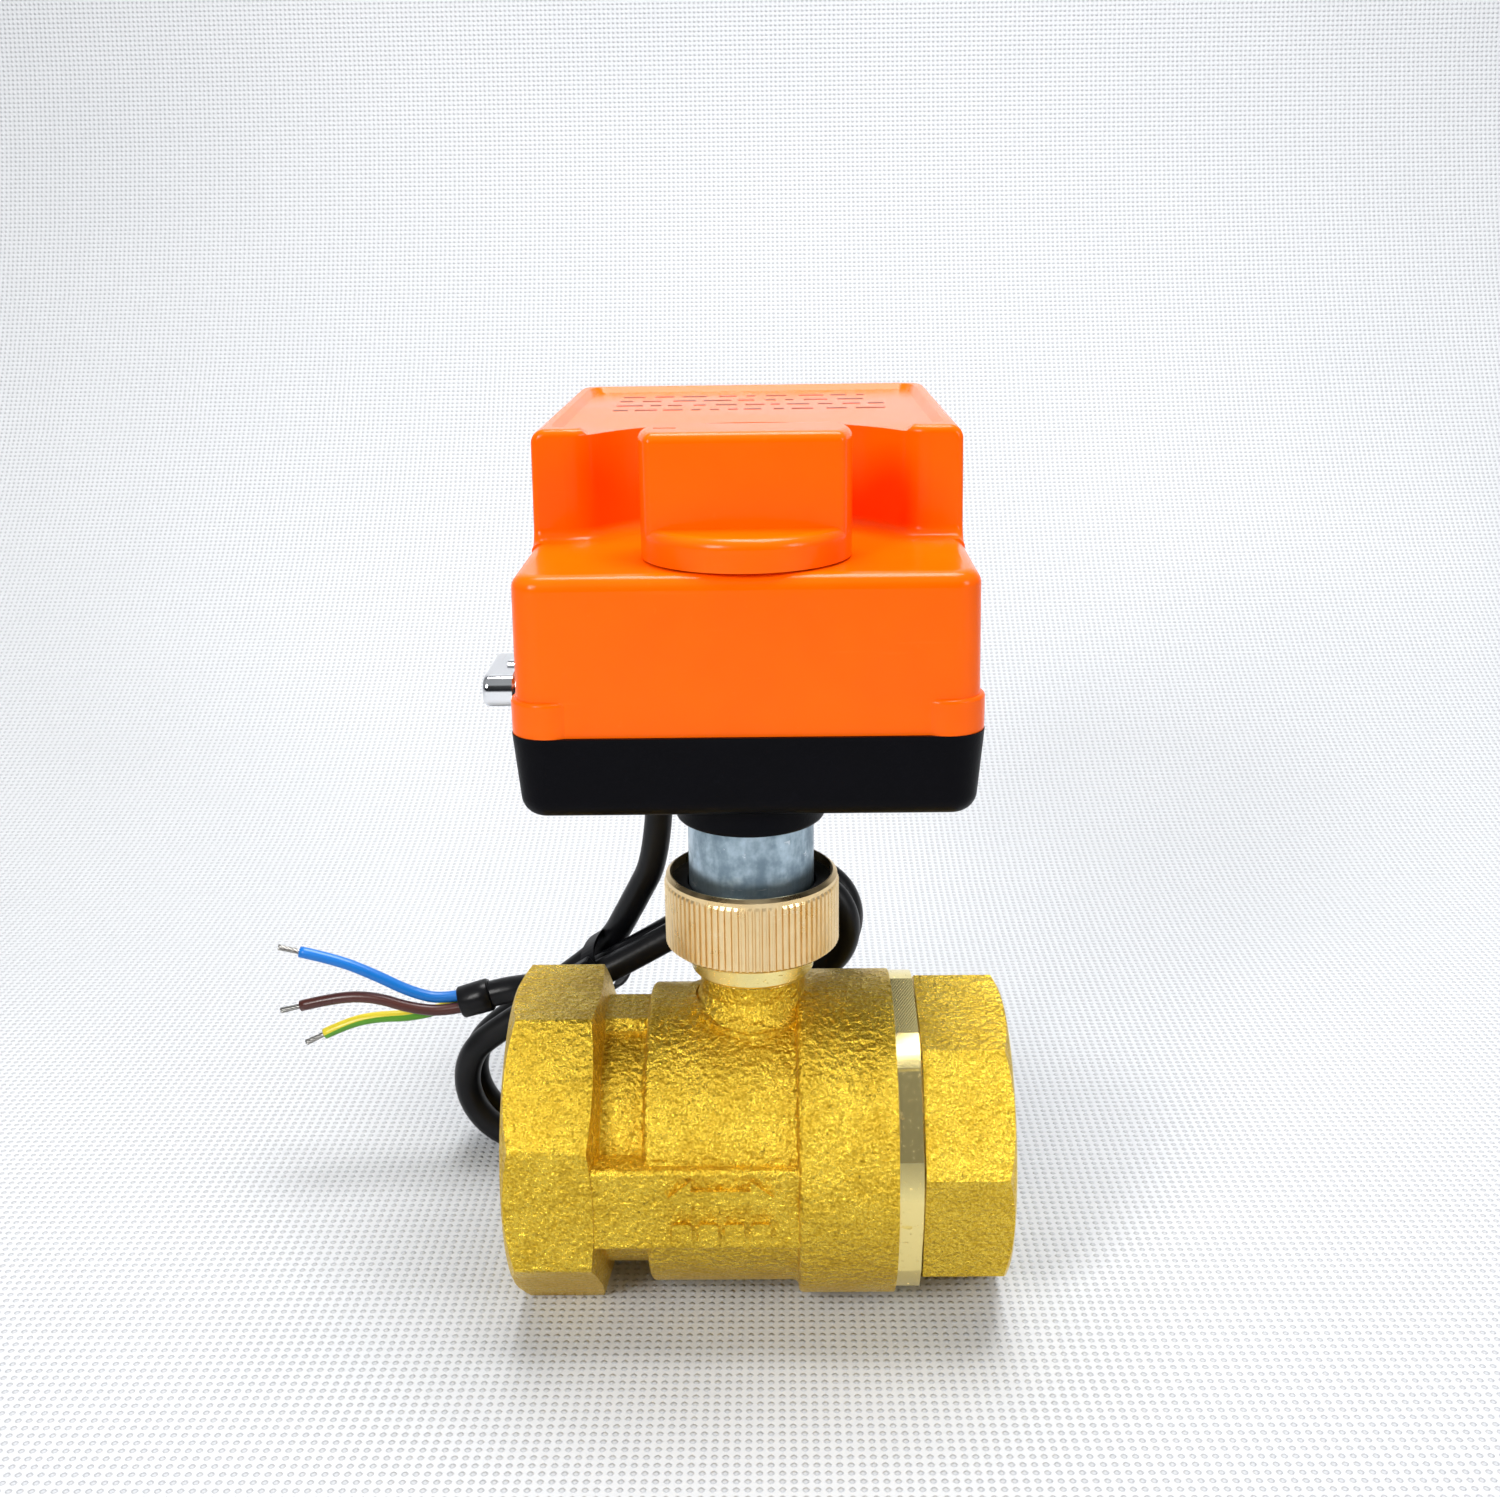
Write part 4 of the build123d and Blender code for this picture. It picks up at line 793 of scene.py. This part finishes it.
@dataclass
class Lead:
    """The lead with its hank, tie, sleeve, cores and bare tips."""

    radius: float = 2.5 * MM
    core_radius: float = 1.05 * MM
    tip_radius: float = 0.75 * MM
    tip_length: float = 4.0 * MM
    sleeve_wall: float = 0.55 * MM
    sleeve_lap: float = 2.0 * MM
    sleeve_mouth: float = 4.0 * MM
    down: tuple[Point, ...] = ((-16.5, 33.5, 60.8), (-16.6, 33.55, 38.0), (-23.2, 37.6, 24.6))
    tail: tuple[Point, ...] = ((-35.0, 28.8, 12.2), (-44.6, 35.2, 9.7), (-51.6, 34.5, 7.9))
    core_routes: dict[str, tuple[Point, ...]] = field(default_factory=lambda: {
        "core_blue": ((-52.0, 34.5, 9.1), (-58.3, 33.8, 7.6), (-64.5, 33.5, 9.4), (-71.0, 33.2, 13.2),
                      (-77.8, 33.0, 16.4), (-84.4, 33.0, 18.0)),
        "core_brown": ((-51.5, 33.4, 7.2), (-57.8, 32.8, 5.7), (-64.5, 32.5, 6.6), (-71.0, 32.6, 8.9),
                       (-78.0, 32.8, 8.9), (-85.2, 33.0, 7.0)),
        "core_earth": ((-51.7, 35.6, 7.2), (-58.0, 35.0, 5.7), (-64.5, 34.4, 4.1), (-71.0, 33.8, 4.3),
                       (-76.5, 33.3, 3.4), (-81.2, 33.0, 1.2)),
    })
    hank: Hank = field(default_factory=Hank)
    strand_gap: float = 0.1 * MM
    first_pass: tuple[float, float] = (13.2 * MM, 12.3 * MM)
    middle_pass: float = 11.4 * MM
    last_pass: tuple[float, float] = (10.6 * MM, 11.6 * MM)
    first_bend: float = 14 * MM
    last_bend: float = 15 * MM
    strand_pitch: float = 5.0 * MM
    outer_strands: int = 6
    strand_steps: int = 10

    def main_route(self) -> Route:
        """Control points of the lead from the gland to the end of its jacket."""
        hank = self.hank
        depth = self.radius + self.strand_gap
        points = [metres(point) for point in self.down]
        points.append(hank.at(hank.tie_place, self.first_pass[0], -2 * depth))
        points.append(hank.at(self.first_bend, self.first_pass[1], -1.3 * depth))
        points += hank.turn(-depth, -depth)
        points.append(hank.at(hank.tie_place, self.middle_pass, 0.0))
        points += hank.turn(depth, depth)
        points.append(hank.at(hank.tie_place + self.last_bend, self.last_pass[0], 1.6 * depth))
        points.append(hank.at(hank.tie_place, self.last_pass[1], 2 * depth))
        points += [metres(point) for point in self.tail]
        return Route("lead", points, self.radius)

    def build_lead(self, paint: Paint) -> bpy.types.Object:
        """Args:
            paint: the materials.

        Returns:
            The lead.
        """
        route = self.main_route()
        line = route.centreline()
        piece = route.curve(bevel=True)
        paint.dress(piece, "jacket")
        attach(piece, HOUSING)
        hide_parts("cord_lead", "cord_hank", "cord_tail")
        length = Route.length_of(line)
        LOG.info("lead is %.3f m long", length)
        return piece

    def build_core(self, name: str, paint: Paint) -> bpy.types.Object:
        """Make one insulated core with its bare twisted strands.

        Args:
            name: the CAD node's name, which is also the material's.
            paint: the materials.

        Returns:
            The core.
        """
        route = Route(name, [metres(point) for point in self.core_routes[name]], self.core_radius)
        line = route.centreline()
        mesh = bmesh.new()
        add_tube(mesh, line, self.core_radius, around=20)
        piece = new_piece(f"{name}_insulation", mesh)
        paint.dress(piece, name)
        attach(piece, HOUSING)
        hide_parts(name)
        strands = self.build_strands(f"{name}_strands", line, paint)
        round(Route.length_of(line), 4)
        return piece

    def build_strands(self, name: str, line: list[Vector], paint: Paint) -> bpy.types.Object:
        """Make the twisted bare strands at the end of a core."""
        heading = (line[-1] - line[-2]).normalized()
        side = heading.orthogonal().normalized()
        up = heading.cross(side)
        strand_radius = self.tip_radius / 4.4
        mesh = bmesh.new()
        for strand in range(self.outer_strands + 1):
            reach = 0.0 if strand == self.outer_strands else 2 * strand_radius
            path = []
            for step in range(self.strand_steps + 1):
                share = step / self.strand_steps
                angle = math.tau * (strand / self.outer_strands
                                    + share * self.tip_length / self.strand_pitch)
                flare = reach * (1 + 0.25 * share ** 3)
                along = line[-1] + heading * (share * self.tip_length - 0.6 * MM * (1 - share))
                path.append(along + (side * math.cos(angle) + up * math.sin(angle)) * flare)
            add_tube(mesh, path, strand_radius, around=7)
        piece = new_piece(name, mesh)
        paint.dress(piece, "tinned")
        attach(piece, HOUSING)
        if name.startswith("core_blue"):
            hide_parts("core_tips")
        return piece

    def build_sleeve(self, paint: Paint) -> bpy.types.Object:
        """Make the shrunk sleeve over the end of the jacket."""
        end = metres(self.tail[-1])
        heading = (end - metres(self.tail[-2])).normalized()
        inner = self.radius + 0.05 * MM
        outer = inner + self.sleeve_wall
        back, mouth = -self.sleeve_lap, self.sleeve_mouth
        profile = ((inner, back), (outer - 0.3 * MM, back), (outer, back + 0.4 * MM),
                   (outer, 0.0), (outer - 0.1 * MM, mouth - 0.3 * MM),
                   (outer - 0.35 * MM, mouth), (inner - 0.1 * MM, mouth), (inner, 0.0))
        mesh = bmesh.new()
        verts = [mesh.verts.new((radius, 0.0, height)) for radius, height in profile]
        edges = [mesh.edges.new((a, b)) for a, b in zip(verts, verts[1:] + verts[:1])]
        bmesh.ops.spin(mesh, geom=verts + edges, cent=(0, 0, 0), axis=(0, 0, 1), angle=math.tau,
                       steps=40, use_merge=True)
        bmesh.ops.remove_doubles(mesh, verts=mesh.verts, dist=1e-6)
        place = Matrix.Translation(end) @ heading.to_track_quat("Z", "Y").to_matrix().to_4x4()
        bmesh.ops.transform(mesh, matrix=place, verts=mesh.verts)
        piece = new_piece("jacket_sleeve", mesh)
        paint.dress(piece, "jacket")
        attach(piece, HOUSING)
        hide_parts("cord_sleeve")
        return piece

    def build_tie(self, paint: Paint) -> bpy.types.Object:
        """Make the tie round the upper strands: a ribbed strap, its head and its cut end."""
        hank = self.hank
        half_across, half_front = 4.4 * MM, 8.3 * MM
        middle = 12.0 * MM
        squareness = 2.6
        width, thick = 1.5 * MM, 0.55 * MM
        path = []
        steps = 48
        for step in range(steps + 1):
            angle = math.tau * step / steps
            total = abs(math.cos(angle)) ** squareness + abs(math.sin(angle)) ** squareness
            stretch = total ** (-1 / squareness)
            path.append((half_across * stretch * math.sin(angle),
                         half_front * stretch * math.cos(angle)))
        mesh = bmesh.new()
        profile = []
        for across, front in path[:-1]:
            out = Vector((across, front, 0)).normalized()
            for reach, edge in ((0.0, -width), (thick, -width), (thick, width), (0.0, width)):
                spot = Vector((across, front, 0)) + out * reach
                profile.append(mesh.verts.new(hank.at(hank.tie_place + edge, middle + spot.x, spot.y)))
        for step in range(steps):
            first, second = 4 * step, 4 * ((step + 1) % steps)
            for k in range(4):
                after = (k + 1) % 4
                mesh.faces.new((profile[first + k], profile[first + after], profile[second + after],
                                profile[second + k]))
        bmesh.ops.bevel(mesh, geom=[e for e in mesh.edges if e.calc_length() > 1.9 * width],
                        offset=0.12 * MM, segments=2,
                        affect="EDGES", profile=0.5, material=-1)
        turn = Matrix((hank.along, hank.front, hank.across)).transposed().to_4x4()
        head_at = hank.at(hank.tie_place - 0.5 * MM, middle + 2.4 * MM, half_front + 1.2 * MM)
        place = Matrix.Translation(head_at) @ turn
        add_box(mesh, metres((-2.1, -1.7, -2.1)), metres((2.1, 1.7, 2.1)), 0.7 * MM, place)
        add_box(mesh, metres((-3.9, -0.6, 0.0)), metres((-1.6, 0.6, 1.9)), 0.25 * MM, place)
        piece = new_piece("lead_tie", mesh, smooth=False)
        paint.dress(piece, "black_plastic")
        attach(piece, HOUSING)
        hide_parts("cord_tie")
        return piece

    def build(self, frame: dict, paint: Paint) -> None:
        """Make every piece of the lead."""
        cores = [self.build_core(name, paint) for name in self.core_routes]
        companions = [self.build_tie(paint), self.build_sleeve(paint), frame["nodes"]["cable_gland"]]
        self.build_lead(paint)
        LOG.info("lead, tie, sleeve and %d cores are in place", len(cores))


# ---- printed panel
@dataclass
class PanelPrint:
    """Plain printed marks on the sunk panel of the cover."""

    thickness: float = 0.05 * MM
    first_row: float = 48.0 * MM
    row_step: float = 7.5 * MM
    rows: int = 4
    panel_depth: float = 1.0 * MM
    half_width: float = 24.0 * MM
    last_start: float = 22.0 * MM
    dash_height: float = 1.1 * MM
    dash_mm: tuple[float, float] = (1.4, 5.2)
    gap_mm: tuple[float, float] = (1.0, 2.4)
    seed: int = 7

    def build(self, paint: Paint) -> None:
        """Lay rows of short dashes on the panel."""
        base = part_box("cover")[1].z - self.panel_depth
        generator = random.Random(self.seed)
        mesh = bmesh.new()
        for row in range(self.rows):
            y = self.first_row + row * self.row_step
            x = -self.half_width
            while x < self.last_start:
                dash = generator.uniform(*self.dash_mm) * MM
                low = Vector((x, y, base))
                high = Vector((min(x + dash, self.half_width), y + self.dash_height,
                               base + self.thickness))
                add_box(mesh, low, high)
                x += dash + generator.uniform(*self.gap_mm) * MM
        piece = new_piece("panel_marks", mesh, smooth=False)
        paint.dress(piece, "print")
        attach(piece, HOUSING)
        LOG.info("panel marks are in place")


# ---- studio
@dataclass(frozen=True)
class AreaLight:
    """Where one area light is, what it faces and how bright it is."""

    name: str
    place: Point
    target: Point
    size: tuple[float, float]
    power: float
    color: Color = (1.0, 1.0, 1.0)


@dataclass
class Studio:
    """Camera, backdrop and lights."""

    camera_mm: Point = (4.604, -252.218, 146.737)
    pitch: float = 0.306
    yaw: float = -0.018
    roll: float = -0.015
    focal_share: float = 1687.4 / 1500.0
    sensor_mm: float = 36.0
    weave_pitch: float = 3.3 * MM
    weave_depth: float = 0.3 * MM
    # How strongly the dimples are darkened, and the dark colour used there: painted shade in the
    # hollows of the weave.
    dimple_shade_share: float = 0.42
    cloth_colors: tuple[Color, Color] = ((0.545, 0.56, 0.58), (0.61, 0.62, 0.635))
    dimple_shade_color: Color = (0.36, 0.375, 0.40)
    room_colors: tuple[Color, Color] = ((0.30, 0.31, 0.34), (0.95, 0.97, 1.0))
    dark_color: Color = (0.02, 0.02, 0.025)
    dark_share: float = 0.92
    room_strength: float = 0.36
    bend_steps: int = 16
    lights: tuple[AreaLight, ...] = (
        AreaLight("overhead", (0.05, 0.12, 0.72), (0.0, 0.04, 0.05), (0.42, 0.30), 6.4),
        AreaLight("front_left", (-0.42, -0.6, 0.46), (0.0, 0.0, 0.04), (0.24, 0.30), 4.9,
                  (1.0, 0.99, 0.97)),
        AreaLight("front_right", (0.65, -0.45, 0.35), (0.0, 0.0, 0.03), (0.22, 0.34), 2.5,
                  (0.97, 0.98, 1.0)),
    )

    def camera(self) -> None:
        """Place the camera where the front and top of the object show."""
        data = bpy.data.cameras.new("camera")
        data.sensor_width = self.sensor_mm
        data.lens = self.focal_share * self.sensor_mm
        data.clip_start, data.clip_end = 0.01, 20.0
        forward = Vector((math.sin(self.yaw) * math.cos(self.pitch),
                          math.cos(self.yaw) * math.cos(self.pitch),
                          -math.sin(self.pitch)))
        right = Vector((math.cos(self.yaw), -math.sin(self.yaw), 0.0))
        up = right.cross(forward)
        tilted_right = right * math.cos(self.roll) + up * math.sin(self.roll)
        tilted_up = up * math.cos(self.roll) - right * math.sin(self.roll)
        turn = Matrix((tilted_right, tilted_up, -forward)).transposed().to_4x4()
        piece = bpy.data.objects.new("camera", data)
        piece.matrix_world = Matrix.Translation(metres(self.camera_mm)) @ turn
        bpy.context.scene.collection.objects.link(piece)
        bpy.context.scene.camera = piece

    def fabric(self) -> bpy.types.Material:
        """Pale bonded cloth with a fine dimple pattern, darkened in its dimples as painted shade."""
        material = bpy.data.materials.new("pale_backdrop_cloth")
        material.use_nodes = True
        net = Net(material.node_tree)
        shader = material.node_tree.nodes["Principled BSDF"]
        here = net.here()
        axes = net.add("SeparateXYZ")
        net.feed(axes.inputs[0], net.add("UVMap", uv_map=UV_NAME).outputs[0])
        u, v = axes.outputs[0], axes.outputs[1]
        waves = math.tau / self.weave_pitch
        across = net.math("SINE", net.times(net.plus(u, v), waves))
        down = net.math("SINE", net.times(net.minus(u, v), waves))
        dimple = net.remap(net.times(across, down), 0.1, 0.9)
        cloud = net.noise(here, 9.0, 3.0, 0.5)
        fuzz = net.noise(here, 900.0, 3.0, 0.6)
        tone = net.mix(cloud, *self.cloth_colors)
        # Painted shade: the cloth colour is darkened in the dimples, where the bump below sinks the
        # cloth.
        color = net.mix(net.times(dimple, self.dimple_shade_share), tone, self.dimple_shade_color)
        net.feed(shader.inputs["Base Color"], color)
        shader.inputs["Roughness"].default_value = 0.85
        bump = net.add("Bump")
        bump.inputs["Distance"].default_value = self.weave_depth
        net.feed(bump.inputs["Height"], net.minus(net.times(fuzz, 0.3), dimple))
        net.feed(shader.inputs["Normal"], bump.outputs["Normal"])
        return material

    def backdrop(self, floor: float) -> None:
        """Lay a cloth that curves up from the floor behind the object.

        Args:
            floor: height of the surface that the object stands on.
        """
        half, front, back, bend, height = 1.4, -1.3, 0.42, 0.28, 1.6
        line = [(front, floor), (back - bend, floor)]
        for step in range(1, self.bend_steps + 1):
            angle = math.pi / 2 * step / self.bend_steps
            line.append((back - bend + bend * math.sin(angle), floor + bend - bend * math.cos(angle)))
        line.append((back, floor + height))
        mesh = bmesh.new()
        layer = uv_layer(mesh)
        left = [mesh.verts.new((-half, y, z)) for y, z in line]
        edges = [mesh.edges.new((a, b)) for a, b in zip(left, left[1:])]
        done = bmesh.ops.extrude_edge_only(mesh, edges=edges)
        moved = [item for item in done["geom"] if isinstance(item, bmesh.types.BMVert)]
        bmesh.ops.translate(mesh, vec=(2 * half, 0, 0), verts=moved)
        gone = {}
        run = 0.0
        for index, (y, z) in enumerate(line):
            if index:
                run += math.hypot(y - line[index - 1][0], z - line[index - 1][1])
            gone[(round(y, 5), round(z, 5))] = run
        for face in mesh.faces:
            for loop in face.loops:
                co = loop.vert.co
                loop[layer].uv = (co.x, gone[(round(co.y, 5), round(co.z, 5))])
        piece = new_piece("backdrop", mesh)
        piece.data.materials.append(self.fabric())
        piece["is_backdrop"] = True

    @staticmethod
    def light(row: AreaLight) -> None:
        """Add one soft rectangular light that faces its target."""
        data = bpy.data.lights.new(row.name, "AREA")
        data.shape = "RECTANGLE"
        data.size, data.size_y = row.size
        data.energy = row.power
        data.color = row.color
        piece = bpy.data.objects.new(row.name, data)
        facing = (Vector(row.place) - Vector(row.target)).to_track_quat("Z", "Y")
        piece.matrix_world = Matrix.Translation(Vector(row.place)) @ facing.to_matrix().to_4x4()
        bpy.context.scene.collection.objects.link(piece)

    def world(self) -> None:
        """Pale room light, brighter above than below, with a dark side in front."""
        world = bpy.data.worlds.new("pale_room")
        bpy.context.scene.world = world
        world.use_nodes = True
        net = Net(world.node_tree)
        axes = net.add("SeparateXYZ")
        net.feed(axes.inputs[0], net.add("TexCoord").outputs["Generated"])
        shade = net.remap(axes.outputs[2], -0.4, 0.7)
        background = world.node_tree.nodes["Background"]
        front = net.remap(axes.outputs[1], -0.15, -0.6)
        level = net.remap(net.math("ABSOLUTE", net.minus(axes.outputs[2], 0.05)), 0.62, 0.42)
        dark = net.times(net.times(front, level), self.dark_share)
        room = net.mix(shade, *self.room_colors)
        net.feed(background.inputs["Color"], net.mix(dark, room, self.dark_color))
        background.inputs["Strength"].default_value = self.room_strength

    def build(self, floor: float) -> None:
        """Make the camera, the backdrop and the lights."""
        self.camera()
        self.backdrop(floor)
        self.world()
        for row in self.lights:
            self.light(row)
        view = bpy.context.scene.view_settings
        view.view_transform = "Standard"
        view.exposure = 0.0
        LOG.info("studio is ready")


# ---- clutch spring
@dataclass(frozen=True)
class ClutchSpring:
    """Coil under the clutch carrier, which shortens as the carrier comes down; in millimetres."""

    foot: Point = (0.0, 18.0, 63.3)
    height: float = 8.45
    coil_radius: float = 4.3
    wire_radius: float = 0.35
    turns: float = 4.0
    travel: float = 3.5
    steps: int = 128

    def build(self, paint: Paint) -> None:
        """Make the coil."""
        rise = self.height - 2 * self.wire_radius
        path = []
        for step in range(self.steps + 1):
            share = step / self.steps
            angle = math.tau * self.turns * share
            offset = (self.coil_radius * math.cos(angle), self.coil_radius * math.sin(angle),
                      self.wire_radius + rise * share)
            path.append(metres(self.foot) + metres(offset))
        mesh = bmesh.new()
        add_tube(mesh, path, self.wire_radius * MM, around=10)
        piece = new_piece("clutch_coil", mesh)
        paint.dress(piece, "steel")
        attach(piece, HOUSING)
        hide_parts("clutch_spring")
        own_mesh(piece)


def main() -> None:
    """Load the frame, dress its nodes and build the other pieces round it."""
    logging.basicConfig(level=logging.INFO, format="%(name)s: %(message)s")
    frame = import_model()
    cad_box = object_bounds()
    paint = Paint()
    paint.dress_nodes(frame)
    Studio().build(cad_box[0].z)
    Lead().build(frame, paint)
    PanelPrint().build(paint)
    ClutchSpring().build(paint)


if __name__ == "__main__":
    main()
